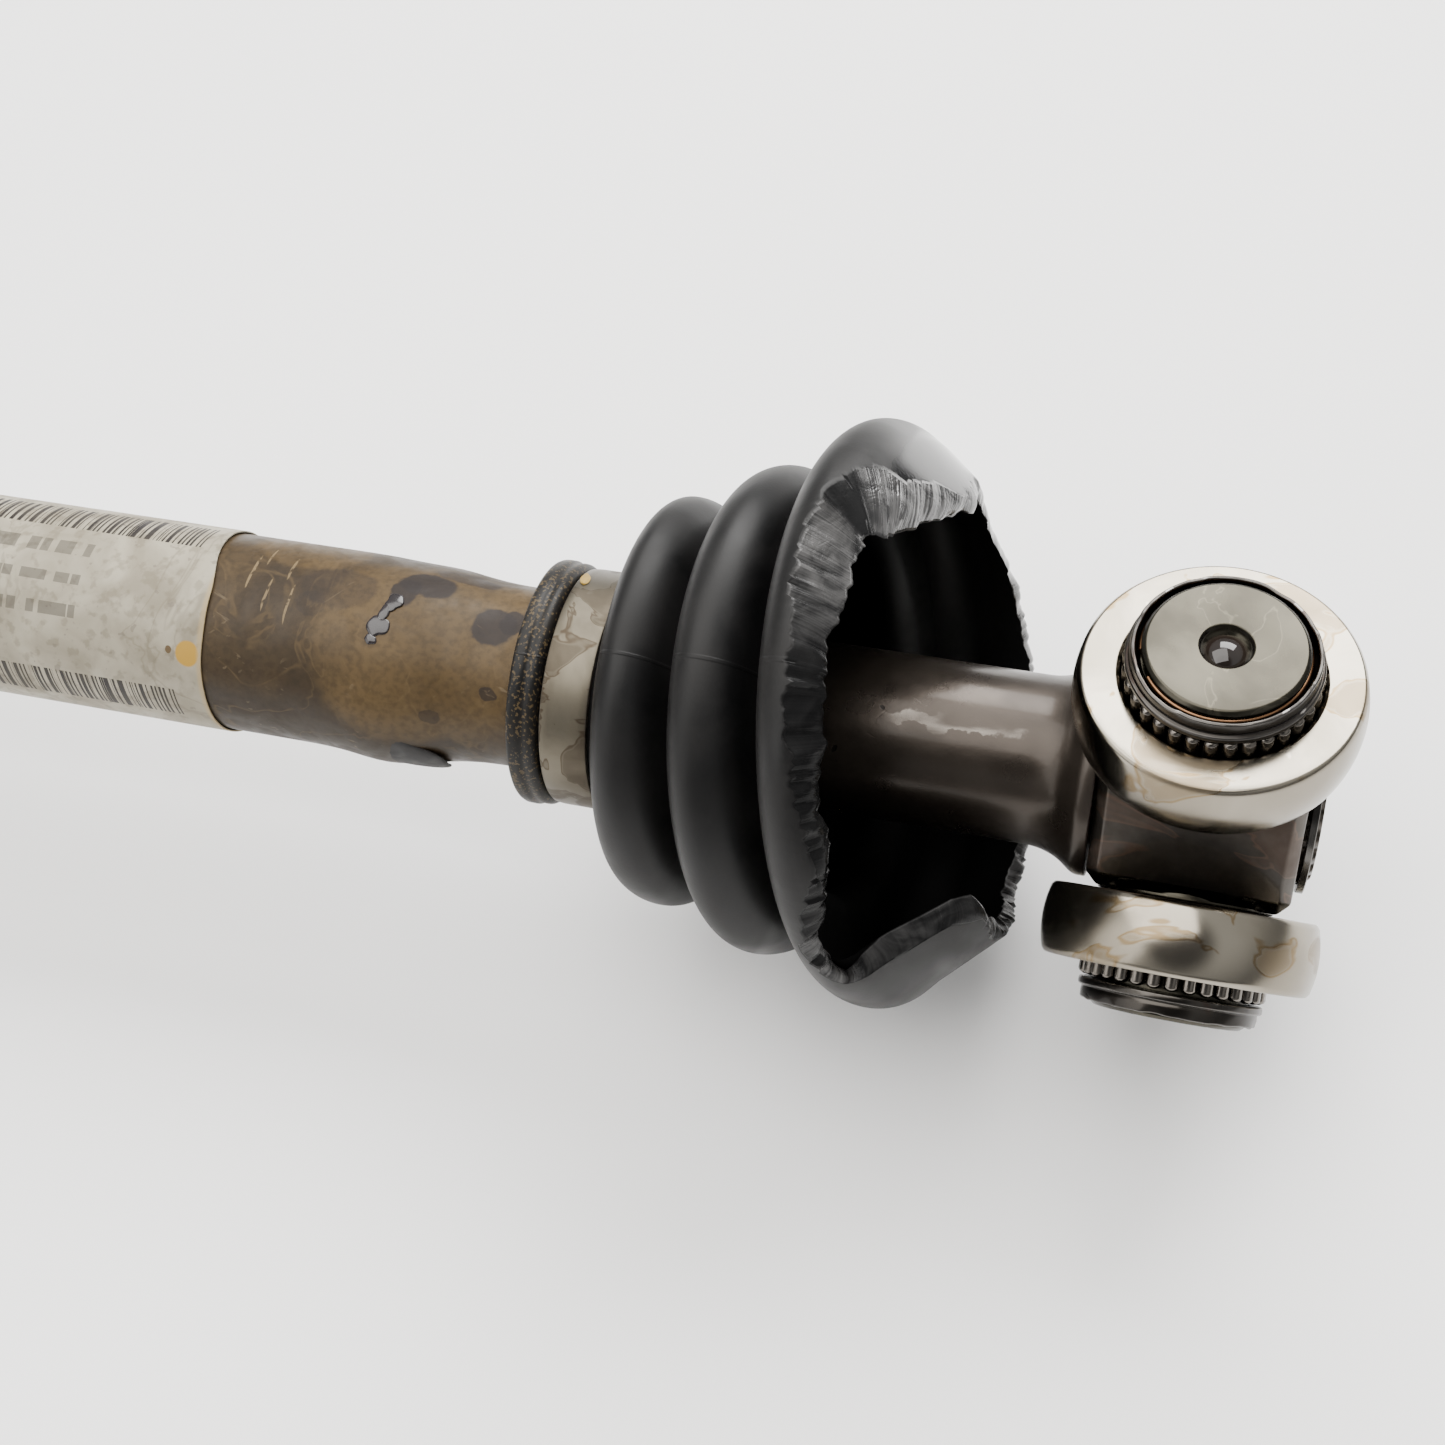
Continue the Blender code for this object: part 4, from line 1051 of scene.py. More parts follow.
@dataclass(frozen=True)
class Plain:
    """A small piece's finish: one colour with mottle and a gloss."""

    name: str
    colour: Triple
    roughness: float = 0.4
    metallic: float = 0.0

    def material(self) -> Finish:
        """Builds the material.

        Returns:
            The material.
        """
        material, graph, shader = new_material(self.name)
        grain = graph.group(EFFECTS.grain, Place=graph.place(), Size=1200.0, Mottle_Size=200.0)
        dark = tuple(part * 0.6 for part in self.colour)
        graph.feed(shader.inputs["Base Color"], graph.mix(grain.outputs["Mottle"], self.colour, dark))
        rough = graph.between(grain.outputs["Mottle"], self.roughness, self.roughness * 1.4)
        graph.feed(shader.inputs["Roughness"], rough)
        shader.inputs["Metallic"].default_value = self.metallic
        bumped(graph, shader, grain.outputs["Height"], 0.1, 0.00002)
        return material


def finish_piece(
    obj: Piece,
    body: str,
    finish: Finish,
    replaces: Sequence[str] = (),
) -> Piece:
    """Dresses a piece, rides it on its body and hides the CAD nodes that it stands for.

    Args:
        obj: the piece, in place.
        body: the CAD body that it rides on.
        finish: its material.
        replaces: the CAD nodes that it stands for.
    Returns:
        The piece.
    """
    obj.data.materials.clear()
    obj.data.materials.append(finish)
    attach(obj, body)
    if replaces:
        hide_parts(*replaces)
    LOG.info("%s rides on %s: %d faces", obj.name, body, len(obj.data.polygons))
    return obj


def store(obj: Piece, name: str, values: np.ndarray) -> None:
    """Stores a number on each of a mesh's points."""
    layer = obj.data.attributes.new(name, "FLOAT", "POINT")
    layer.data.foreach_set("value", np.asarray(values, dtype=np.float32).ravel())


def places(obj: Piece) -> np.ndarray:
    """Reads a mesh's points as an array.

    Args:
        obj: the piece.
    Returns:
        One row for each point.
    """
    points = np.empty(len(obj.data.vertices) * 3, dtype=np.float64)
    obj.data.vertices.foreach_get("co", points)
    return points.reshape(-1, 3)


def smoothstep(value: np.ndarray, low: float, high: float) -> np.ndarray:
    """0 below low and 1 above high, smooth between; low may be above high."""
    t = np.clip((value - low) / (high - low), 0, 1)
    return t * t * (3 - 2 * t)


# ---- Shaft ------------------------------------------------------------------------------------------
@dataclass
class ShaftAssembly:
    """The tubular shaft with its label and end rings, sizes in millimetres."""

    tube: float = 15.0
    seat: float = 13.43
    shank: float = 12.0
    shoulder: float = 15.0
    spline_tip: float = 11.2
    spline_depth: float = 0.9
    spline_teeth: int = 23
    circlip_inner: float = 9.8
    circlip_outer: float = 12.35
    circlip_gap: float = 24.0
    label_edge: float = 144.4
    label_length: float = 110.0
    label_inner: float = 15.22
    label_outer: float = 15.42

    def profile(self) -> Profile:
        """Draws the shaft's outside, from the wheel joint to the spider, closed at both ends.

        Returns:
            The profile, in metres.
        """
        wheel, tripod = WHEEL_X / MM, TRIPOD_X / MM
        hub, race = lowest("tripod_spider") / MM - GAP, highest("inner_race") / MM + GAP
        corners = [
            (race, 0, 0),
            (race, self.shank - 0.8, 0.4),
            (race + 4, self.shank, 1.5),
            (wheel + 80, self.shank, 0.6),
            (wheel + 81.5, self.seat, 0.6),
            (wheel + 103.5, self.seat, 4.0),
            (wheel + 110, self.tube, 4.0),
            (tripod - 113.5, self.tube, 5.0),
            (tripod - 104, self.seat, 5.0),
            (tripod - 84.5, self.seat, 0.6),
            (tripod - 83, self.shank, 0.6),
            (hub - 7.5, self.shank, 3.0),
            (hub - 4.5, self.shank + 0.9, 2.0),
            (hub - 1.8, self.shoulder, 1.5),
            (hub, self.shoulder, 0.3),
            (hub, 0, 0),
        ]
        return spaced(filleted(corners, closed=False, steps=8), 0.0016, closed=False)

    def swell(self, axial: np.ndarray, radius: np.ndarray, turn: np.ndarray) -> tuple[np.ndarray, np.ndarray]:
        """Makes the tube's swaged end uneven: swollen below, a little flat above.

        Args:
            axial: the points' places along the shaft.
            radius: their radii.
            turn: their turns.
        Returns:
            The axial places and the new radii.
        """
        along = axial - TRIPOD_X
        below = np.cos(turn - math.radians(FACING + 92))
        bulge = np.exp(-(((along + 0.1185) / 0.0062) ** 2)) * smoothstep(below, 0.2, 0.95)
        flat = np.exp(-(((along + 0.1165) / 0.005) ** 2)) * smoothstep(-below, 0.5, 1.0)
        waves = lumps(turn, 5, (2, 3, 5)) * 0.00008
        on_tube = smoothstep(radius, 0.0130, 0.0134)
        return axial, radius + (bulge * 0.0009 - flat * 0.0003 + waves) * on_tube

    def make_drips(self, finish: Finish, matt: Finish) -> None:
        """Makes the run of hard coating on the side that faces out, and the sag below the tube's end.

        Args:
            finish: the run's material.
            matt: the sag's material.
        """
        run = [blob(f"drip_{i}", spot, self.tube * MM, 0.00024, i) for i, spot in enumerate(DRIP)]
        finish_piece(joined("coating_drip", run), "shaft", finish)
        sag = blob("coating_sag", Spot(-0.1150, -76, 0.0075, 26), self.tube * MM - 0.0001, 0.00085, 9)
        finish_piece(sag, "shaft", matt)

    def make_shaft(self, finish: Finish) -> None:
        """Makes the shaft with both splined ends.

        Args:
            finish: its material.
        """
        body = turned("shaft_mesh", self.profile(), 216, closed=False, warp=self.swell)
        along_shaft(body, 0.0)
        hub, race = lowest("tripod_spider") - GAP * MM, highest("inner_race") + GAP * MM
        teeth = (self.spline_tip * MM, self.spline_depth * MM, self.spline_teeth)
        gearbox_end = splined("gearbox_spline", *teeth, hub, highest("shaft"))
        wheel_end = splined("wheel_spline", *teeth, lowest("shaft"), race)
        shaft = joined("shaft_fine", (body, gearbox_end, wheel_end))
        finish_piece(shaft, "shaft", finish, ("shaft",))

    def uneven(
        self, axial: np.ndarray, radius: np.ndarray, turn: np.ndarray
    ) -> tuple[np.ndarray, np.ndarray]:
        """Shifts the label's edges a little and lifts the lapped end.

        Args:
            axial: the points' places from the label's gearbox-side edge.
            radius: their radii.
            turn: their turns.
        Returns:
            The new axial places and radii.
        """
        slant = 0.0026 * smoothstep(np.cos(turn - math.radians(FACING - 90)), 0.3, 1.0) * (axial > -0.05)
        lap = smoothstep(np.mod(turn - math.radians(210), math.tau), 0.35, 0.0) * 0.00022
        return axial + lumps(turn, 3, (1, 2, 3, 7, 11)) * 0.00022 - slant, radius + lap

    def make_label(self, finish: Finish) -> None:
        """Makes the paper label, with one end lapped over the other.

        Args:
            finish: its material.
        """
        low, inner, outer = -self.label_length, self.label_inner, self.label_outer
        corners = [(low, inner, 0), (low, outer, 0.05), (0.0, outer, 0.05), (0.0, inner, 0)]
        label = turned("shaft_label_fine", spaced(filleted(corners), 0.0012), 216, warp=self.uneven)
        along_shaft(label, TRIPOD_X - self.label_edge * MM)
        finish_piece(label, "shaft", finish, ("shaft_label",))

    def make_circlip(self, node: str, finish: Finish) -> None:
        """Makes an open spring ring in the groove at a shaft end, its gap at the bottom.

        Args:
            node: the CAD ring that it stands for.
            finish: its material.
        """
        low, high = lowest(node), highest(node)
        inner, outer = self.circlip_inner * MM, self.circlip_outer * MM
        axial, radius = np.array([low, high, high, low]), np.array([inner, inner, outer, outer])
        start, end = 180 + self.circlip_gap / 2, 540 - self.circlip_gap / 2
        rows = [on_shaft(axial, radius, turn) for turn in np.radians(np.linspace(start, end, 97))]
        ring = grid_mesh(node + "_fine", np.array(rows), False)
        bevel = ring.modifiers.new("bevel", "BEVEL")
        bevel.width = 0.00012
        bevel.segments = 2
        finish_piece(ring, "shaft", finish, (node,))


# ---- Tripod -----------------------------------------------------------------------------------------
@dataclass
class TripodArm:
    """One arm's needles, roller, retainer and snap ring, sizes in millimetres from the shaft's axis."""

    number: int
    angle: float
    trunnion: float = 10.5
    needle: float = 2.0
    needles: int = 32
    needle_gap: float = 0.12
    needle_start: float = 16.1
    needle_end: float = 28.1
    roller: float = 18.66
    roller_gap: float = 0.14
    roller_half: float = 4.95
    roller_centre: float = 21.1
    roller_edge: float = 0.55
    bore_edge: float = 0.45
    crown: float = 16.0
    retainer_gap: float = 0.40
    retainer_wall: float = 1.0
    retainer_flange: float = 1.5
    snap_wire: float = 0.42
    snap_level: float = 30.4
    snap_gap: float = 24.0
    snap_gap_side: float = 200.0

    def make_needles(self, finish: Finish) -> None:
        """Makes a full set of separate needle rollers with domed ends.

        Args:
            finish: their material.
        """
        radius = self.needle / 2 * MM
        bulge = radius * 0.6
        low, high = self.needle_start * MM + bulge, self.needle_end * MM - bulge
        dome = [(math.sin(a) * bulge, math.cos(a) * radius) for a in np.linspace(0, math.pi / 2, 4)]
        profile = [(low - x, r) for x, r in dome[::-1]] + [(high + x, r) for x, r in dome]
        circle = (self.trunnion + self.needle_gap) * MM + radius
        pieces = []
        for index in range(self.needles):
            turn = math.tau * index / self.needles
            needle = turned(f"needle_{index}", profile, 12, closed=False)
            needle.data.transform(Matrix.Translation((circle * math.cos(turn), circle * math.sin(turn), 0)))
            pieces.append(needle)
        needles = joined(f"needles_{self.number}_fine", pieces)
        along_arm(needles, self.angle)
        replaced = (f"needle_rollers_{self.number}",)
        finish_piece(needles, f"needles_{self.number}", finish, replaced)

    def make_roller(self, finish: Finish) -> None:
        """Makes the crowned roller with small ground edges.

        Args:
            finish: its material.
        """
        bore = self.trunnion + self.needle_gap + self.needle + self.roller_gap
        half, centre, edge, inner = self.roller_half, self.roller_centre, self.roller_edge, self.bore_edge
        lean = math.asin((half - edge) / self.crown)
        crown = []
        for angle in np.linspace(-lean, lean, 25):
            drop = self.crown * (1 - math.cos(angle))
            crown.append((centre + self.crown * math.sin(angle), self.roller - drop, 0))
        side = crown[-1][1] - edge * 0.75
        corners = crown + [
            (centre + half, side, 0.25),
            (centre + half, bore + inner, 0.12),
            (centre + half - inner, bore, 0.12),
            (centre - half + inner, bore, 0.12),
            (centre - half, bore + inner, 0.12),
            (centre - half, side, 0.25),
        ]
        roller = turned(f"roller_{self.number}_fine", spaced(filleted(corners), 0.0009), 192, sharp=60)
        along_arm(roller, self.angle)
        finish_piece(roller, f"roller_{self.number}", finish, (f"roller_{self.number}",))

    def peened(
        self, axial: np.ndarray, radius: np.ndarray, turn: np.ndarray
    ) -> tuple[np.ndarray, np.ndarray]:
        """Makes the top of a retainer's wall uneven, as it is after it was rolled over.

        Args:
            axial: the points' distances from the shaft's axis.
            radius: their radii.
            turn: their turns about the arm.
        Returns:
            The new distances and radii.
        """
        top = smoothstep(axial, 30.2 * MM, 31.4 * MM)
        wave = lumps(turn, 20 + self.number, (3, 5, 8, 13, 21), 0.75)
        return axial - np.abs(wave) * top * 0.00022, radius - (0.00010 + wave * 0.00010) * top

    def make_retainer(self, finish: Finish) -> None:
        """Makes the pressed cap with a rolled flange and an uneven bright rim.

        Args:
            finish: its material.
        """
        bore = self.trunnion + self.retainer_gap
        wall, flange = bore + self.retainer_wall, bore + self.retainer_flange
        corners = [
            (28.4, bore, 0.1), (28.4, flange, 0.35), (29.45, flange, 0.45), (29.55, wall - 0.08, 0.2),
            (30.0, wall, 0.25), (31.45, wall, 0.28), (31.45, bore + 0.45, 0.18), (29.7, bore + 0.4, 0.1),
            (29.4, bore, 0.1),
        ]
        name = f"roller_retainer_{self.number}"
        retainer = turned(name + "_fine", filleted(corners), 216, warp=self.peened)
        along_arm(retainer, self.angle)
        finish_piece(retainer, "shaft", finish, (name,))

    def make_snap_ring(self, finish: Finish) -> None:
        """Makes the open wire ring in the trunnion's groove.

        Args:
            finish: its material.
        """
        centre = self.trunnion - 0.18
        start, end = self.snap_gap_side + self.snap_gap / 2, self.snap_gap_side + 360 - self.snap_gap / 2
        rows = []
        for turn in np.radians(np.linspace(start, end, 121)):
            section = []
            for side in np.linspace(0, math.tau, 12, endpoint=False):
                reach = (centre + self.snap_wire * math.cos(side)) * MM
                height = (self.snap_level + self.snap_wire * math.sin(side)) * MM
                section.append((reach * math.cos(turn), reach * math.sin(turn), height))
            rows.append(section)
        ring = grid_mesh(f"snap_ring_{self.number}_fine", np.array(rows), False)
        along_arm(ring, self.angle)
        finish_piece(ring, "shaft", finish, (f"snap_ring_{self.number}",))

    def make_oil_bead(self, finish: Finish) -> None:
        """Makes the bead of old oil that stands in the trunnion's centre mark.

        Args:
            finish: its material.
        """
        reach, top, steepest = 3.1, 31.95, math.radians(58)
        ball = reach / math.sin(steepest)
        profile = [(30.2 * MM, 0.0), (30.2 * MM, 1.4 * MM)]
        for angle in np.linspace(steepest, 0, 18):
            profile.append(((top - ball * (1 - math.cos(angle))) * MM, ball * math.sin(angle) * MM))
        bead = turned(f"oil_bead_{self.number}", profile, 72, closed=False, sharp=80)
        along_arm(bead, self.angle)
        finish_piece(bead, "shaft", finish)


@dataclass
class Tripod:
    """The spider and its three trunnions, sizes in millimetres."""

    hub_flat: float = 15.4
    arm_root: float = 15.8
    hub_half: float = 13.5
    hole: float = 11.5
    spline_depth: float = 0.9
    spline_teeth: int = 23
    root: float = 8.2
    boss_step: float = 1.3
    trunnion: float = 10.5
    end: float = 32.0
    dimple: float = 3.4

    def trunnion_profile(self) -> Profile:
        """Draws a trunnion from inside the hub to its end face, with the ring groove and the centre mark.

        Returns:
            The profile, in metres.
        """
        boss, side = self.trunnion + self.boss_step, self.trunnion - 0.05
        foot, groove, end = self.arm_root, 9.6, self.end
        corners = [
            (6, 0, 0), (6, self.root, 0), (foot - 0.25, self.root, 0), (foot - 0.2, boss, 0),
            (foot + 0.25, boss, 0.3), (foot + 0.35, self.trunnion + 0.1, 0.2),
            (29.8, side, 0.05), (29.8, groove, 0.1), (31.1, groove, 0.1), (31.1, side, 0.08),
            (end - 0.5, side, 0.2), (end, self.trunnion - 0.6, 0.2), (end, self.dimple, 0.2),
            (end - 0.9, self.dimple - 0.15, 0.3), (end - 1.9, 2.2, 0.6), (end - 2.0, 0, 0),
        ]
        return filleted(corners, closed=False)

    def make_spider(self, finish: Finish, ends: Finish, angles: Sequence[float]) -> None:
        """Makes the forged hub with machined flats and its three trunnions in one piece.

        Args:
            finish: the hub's material.
            ends: the trunnions' material.
            angles: the arms' angles, in degrees.
        """
        across = (self.hub_flat - self.arm_root * 0.5) / math.sin(math.radians(60))
        outline = []
        for angle in angles:
            turn = math.radians(angle)
            for side in (-across, across):
                y = -(self.arm_root * math.sin(turn) + side * math.cos(turn))
                z = self.arm_root * math.cos(turn) - side * math.sin(turn)
                outline.append((y * MM, z * MM))
        half = self.hub_half * MM
        rows = [[(TRIPOD_X + x, y, z) for y, z in outline] for x in (-half, half)]
        spider = grid_mesh("tripod_spider_fine", np.array(rows), False, sharp=50)
        for name, width, segments, over in (("chamfer", 0.0016, 1, 50), ("soften", 0.0003, 2, 20)):
            bevel = spider.modifiers.new(name, "BEVEL")
            bevel.width = width
            bevel.segments = segments
            bevel.limit_method = "ANGLE"
            bevel.angle_limit = math.radians(over)
        for number, angle in enumerate(angles, 1):
            arm = turned(f"trunnion_{number}", self.trunnion_profile(), 144, closed=False)
            merged(spider, along_arm(arm, angle))
        teeth = (self.hole * MM, self.spline_depth * MM, self.spline_teeth)
        merged(spider, splined("spider_hole", *teeth, TRIPOD_X - 0.02, TRIPOD_X + 0.02), "DIFFERENCE")
        spider.data.shade_smooth()
        spider.data.set_sharp_from_angle(angle=math.radians(28))
        finish_piece(spider, "shaft", finish, ("tripod_spider",))
        spider.data.materials.append(ends)
        for face in spider.data.polygons:
            face.material_index = int(math.hypot(face.center.y, face.center.z) > (self.arm_root + 0.1) * MM)


# ---- Gearbox boot -----------------------------------------------------------------------------------
@dataclass(frozen=True)
class TearPoint:
    """A place on the torn edge, on the skin and on the lining.

    Turns are in degrees up from the side that faces out, and lengths in millimetres past the last crest.
    """

    base: float
    outer_up: float
    outer: float
    inner_up: float
    inner: float


TEAR = tuple(TearPoint(*row) for row in (
    (-180, -180, 15.5, -180, 15.8), (-148, -148, 15.6, -148, 15.5), (-136, -136, 15.6, -134, 14.0),
    (-110, -110, 18.0, -108, 17.0), (-85, -85, 20.0, -82, 19.5), (-76, -66, 20.5, -60, 20.0),
    (-72, -61, 16.0, -57.5, 17.0), (-69, -62, 12.0, -58, 12.0), (-66, -62, 7.2, -58, 6.0),
    (-63, -63, 3.5, -60, 2.5), (-60, -64, 0.5, -64, -0.8), (-56, -61, -1.8, -60, -1.5),
    (-50, -54, -3.6, -52, -1.0), (-42, -42, -1.2, -42, 1.0), (-30, -30, 1.0, -30, 2.6),
    (-18, -18, 0.0, -18, 2.8), (-10, -10, -0.4, -10, 3.1),
    (0, 0, -0.8, 0, 3.4), (10, 10, -1.2, 8, 3.7), (18, 18, -1.5, 16, 4.3), (26, 26, -1.6, 24, 5.2),
    (34, 34, -1.2, 32, 5.8), (42, 43, 0.8, 36.5, 6.2), (50, 51, 2.8, 37.5, 7.0), (54, 53, 5.5, 38.5, 8.2),
    (58, 53.5, 8.5, 40.5, 9.6), (62, 57, 10.3, 46, 11.5), (66, 62, 12.5, 53, 13.2), (70, 67, 15.5, 61, 14.5),
    (78, 76, 15.5, 74, 16.0), (90, 90, 12.5, 90, 14.0), (108, 108, 8.5, 108, 11.5),
    (124, 124, 7.6, 122, 11.2), (136, 136, 10.8, 134, 13.2), (146, 146, 12.8, 146, 14.0),
    (156, 156, 14.0, 156, 15.0), (180, 180, 15.5, 180, 15.8),
))


@dataclass
class GearboxBoot:
    """The torn rubber bellows and its clamp, sizes in millimetres from the tripod's centre."""

    wall: float = 2.4
    ring_steps: int = 480
    free_from: float = -16.0

    def folds(self) -> list[Fold]:
        """Lists the bellows' folds, from the collar towards the tripod.

        Returns:
            The folds.
        """
        crest, valley = FoldKind.CREST, FoldKind.VALLEY
        return [
            Fold(-83.5, 16.4, 1.4, valley), Fold(-74.2, 29.7, 5.6, crest), Fold(-66.8, 23.2, 1.2, valley),
            Fold(-59.4, 35.0, 5.8, crest), Fold(-51.8, 27.8, 1.3, valley), Fold(-44.0, 41.3, 6.2, crest),
            Fold(-23.5, 26.2, 2.0, valley),
        ]

    def collar(self) -> Profile:
        """Draws the collar's outside, from the lip to the clamp's groove.

        Returns:
            The profile, in metres.
        """
        start = -95.5
        corners = [
            (start, 13.75, 0.2), (start, 18.2, 0.7), (start + 1.9, 18.2, 0.5), (start + 2.2, 17.8, 0.3),
            (start + 3.6, 18.05, 0.5), (start + 4.4, 17.2, 0.4), (start + 4.5, 16.4, 0.3),
            (-84.9, 16.4, 0.3), (-84.0, 16.4, 0),
        ]
        return spaced(filleted(corners, closed=False), 0.0006, closed=False)

    def lean(self, points: np.ndarray) -> np.ndarray:
        """Droops and leans the loose folds off the shaft's line.

        Args:
            points: places on the straight boot, in metres.
        Returns:
            The places on the drooping boot.
        """
        along = (points[..., 0] - TRIPOD_X) / MM
        rise = 3.0 * np.clip((along + 84.0) / 40.0, 0, 1.15) ** 2 * MM
        stations = (-84, -74, -59, -44, -20)
        upward = np.tan(np.radians(np.interp(along, stations, (0, 4.5, 4.8, 7.5, 8.0))))
        outward = np.tan(np.radians(np.interp(along, stations, (0, 5.0, 8.5, 9.5, 9.5))))
        side, face = math.radians(FACING - 90), math.radians(FACING)
        height = -math.sin(side) * points[..., 1] + math.cos(side) * points[..., 2]
        depth = -math.sin(face) * points[..., 1] + math.cos(face) * points[..., 2]
        points[..., 0] -= upward * height + outward * depth
        points[..., 1] += -math.sin(side) * rise
        points[..., 2] += math.cos(side) * rise
        return points

    def run(self, line: np.ndarray) -> np.ndarray:
        """Measures along a skin, in millimetres past the top of the last crest.

        Args:
            line: the skin's profile, in metres.
        Returns:
            Each point's distance.
        """
        steps = np.hypot(*np.diff(line, axis=0).T)
        distance = np.concatenate([[0.0], np.cumsum(steps)]) / MM
        last = line[:, 0] > -50.0 * MM
        return distance - distance[np.argmax(np.where(last, line[:, 1], 0.0))]

    def followed(
        self, line: np.ndarray, ends: np.ndarray, jag: np.ndarray, edge: np.ndarray, rows: tuple[int, int]
    ) -> np.ndarray:
        """Follows a skin from the collar to the torn edge.

        Args:
            line: (axial, radius) points of the skin.
            ends: where each ring point's line ends, past the last crest.
            jag: what the jags add to each end.
            edge: each line's turn at its end, in degrees up.
            rows: how many rows there are before and after the lines start to bend.
        Returns:
            Rows x ring points x (axial, radius, degrees up).
        """
        run = self.run(line)
        start = np.linspace(run[0], self.free_from, rows[0], endpoint=False)[:, None]
        share = np.linspace(0, 1, rows[1])[:, None]
        free = self.free_from + (ends - self.free_from)[None, :] * share + jag[None, :] * share**8
        spots = np.concatenate([np.repeat(start, len(ends), axis=1), free])
        bend = np.concatenate([np.zeros((rows[0], 1)), smoothstep(share, 0, 1)])
        ups = self.ups()[None, :] * (1 - bend) + edge[None, :] * bend
        return np.stack([np.interp(spots, run, line[:, 0]), np.interp(spots, run, line[:, 1]), ups], axis=-1)

    def ups(self) -> np.ndarray:
        """The ring points' turns, in degrees up from the side that faces out."""
        return np.linspace(-180, 180, self.ring_steps, endpoint=False)

    def make_boot(self, finish: Finish) -> None:
        """Makes the skin, the torn edge and the lining as one closed sheet.

        Args:
            finish: its material.
        """
        skin = np.array(spaced(self.collar() + bellows(self.folds(), 0.0, 48), 0.0005, closed=False))
        lining = [p for p in bellows(self.folds(), self.wall, 40) if p[1] > 0.01375]
        lining = np.array(spaced(lining, 0.0005, closed=False))
        ups = self.ups()
        turn = np.radians(ups)
        table = np.array([astuple(point) for point in TEAR])
        columns = [np.interp(ups, table[:, 0], table[:, i]) for i in range(1, 5)]
        outer_up, outer_end, inner_up, inner_end = columns
        jag = lumps(turn, 41, (9, 17, 31, 53, 97, 149), 0.85) * 0.8
        jag = jag + np.abs(lumps(turn, 77, (61, 113, 173), 0.9)) * 0.55
        inner_jag = lumps(turn, 19, (13, 23, 41, 71, 127), 0.8) * 0.6
        outer = self.followed(skin, outer_end, jag, outer_up, (190, 72))
        inner = self.followed(lining, inner_end, inner_jag, inner_up, (110, 60))[::-1]
        count = 16
        share = np.linspace(0, 1, count + 2)[1:-1, None, None]
        strip = outer[-1][None] * (1 - share) + inner[0][None] * share
        swell = np.sin(share[..., 0] * math.pi)
        pale = np.interp(ups, *zip(*PALENESS)) * (0.8 + 0.2 * lumps(turn, 23, (9, 17, 29)))
        ridges = lumps(turn, 5, (90, 141, 187, 230), 0.95)[None, :] * (0.02 + 0.11 * pale)
        waves = lumps(turn, 6, (11, 19, 29), 0.9)[None, :] * 0.35
        strip[..., 0] += (ridges + np.abs(waves) + 0.35) * swell * MM
        flat = np.concatenate([outer, strip, inner])
        angle = math.radians(FACING) - np.radians(flat[..., 2])
        around = on_shaft(flat[..., 0] + TRIPOD_X, flat[..., 1], angle)
        cut = np.zeros(flat.shape[:2])
        cut[len(outer):len(outer) + count] = 1
        inside = np.zeros(flat.shape[:2])
        inside[len(outer) + count:] = 1
        boot = grid_mesh("gearbox_boot_fine", self.lean(around), True, 50, tidy=False)
        store(boot, "cut", cut)
        store(boot, "inside", inside)
        store(boot, "pale", np.repeat(pale[None, :], len(flat), axis=0))
        store(boot, "strand", np.repeat(ups[None, :] / 10, len(flat), axis=0))
        finish_piece(boot, "shaft", finish, ("gearbox_boot",))

    def make_clamp(self, finish: Finish) -> None:
        """Makes the smooth band in the collar's groove.

        Args:
            finish: its material.
        """
        low, high = lowest("gearbox_boot_clamp"), highest("gearbox_boot_clamp")
        inner, outer = 16.55, 17.5
        corners = [
            (0, inner, 0.1), (0, outer - 0.15, 0.2), (0.9, outer, 0.5), ((high - low) / MM - 0.9, outer, 0.5),
            ((high - low) / MM, outer - 0.15, 0.2), ((high - low) / MM, inner, 0.1),
        ]
        band = turned("gearbox_boot_clamp_fine", spaced(filleted(corners), 0.001), 192)
        along_shaft(band, low)
        finish_piece(band, "shaft", finish, ("gearbox_boot_clamp",))

    def make_chip(self, finish: Finish) -> None:
        """Makes the chip of yellow marking paint left beside the clamp.

        Args:
            finish: its material.
        """
        centre, up, half_turn, half_length, seat = -89.6, 60.0, 5.5, 0.75, 17.62
        section = np.array([(-1, 0.0), (-0.5, 0.22), (0.5, 0.22), (1, 0.0), (0, -0.12)])  # across, lift
        rows = []
        for share in np.linspace(-1, 1, 13):
            half = half_length * math.sqrt(max(0.02, 1 - share**2))
            x = TRIPOD_X + (centre + section[:, 0] * half + share * 0.3) * MM
            radius = (seat + section[:, 1]) * MM
            rows.append(on_shaft(x, radius, math.radians(FACING - up + share * half_turn)))
        chip = grid_mesh("paint_chip", np.array(rows), False, sharp=60)
        finish_piece(chip, "shaft", finish)


PALENESS = (
    (-180, 0.45), (-136, 0.40), (-110, 0.20), (-72, 0.22), (-62, 0.30), (-57, 0.95), (-50, 0.80), (-46, 0.08),
    (-20, 0.04), (5, 0.07), (14, 0.30), (24, 0.75), (37, 0.70), (40, 0.02), (46, 0.02), (49, 0.65),
    (66, 0.75), (80, 0.55), (120, 0.40), (180, 0.45),
)  # how pale the torn face is, by degrees up


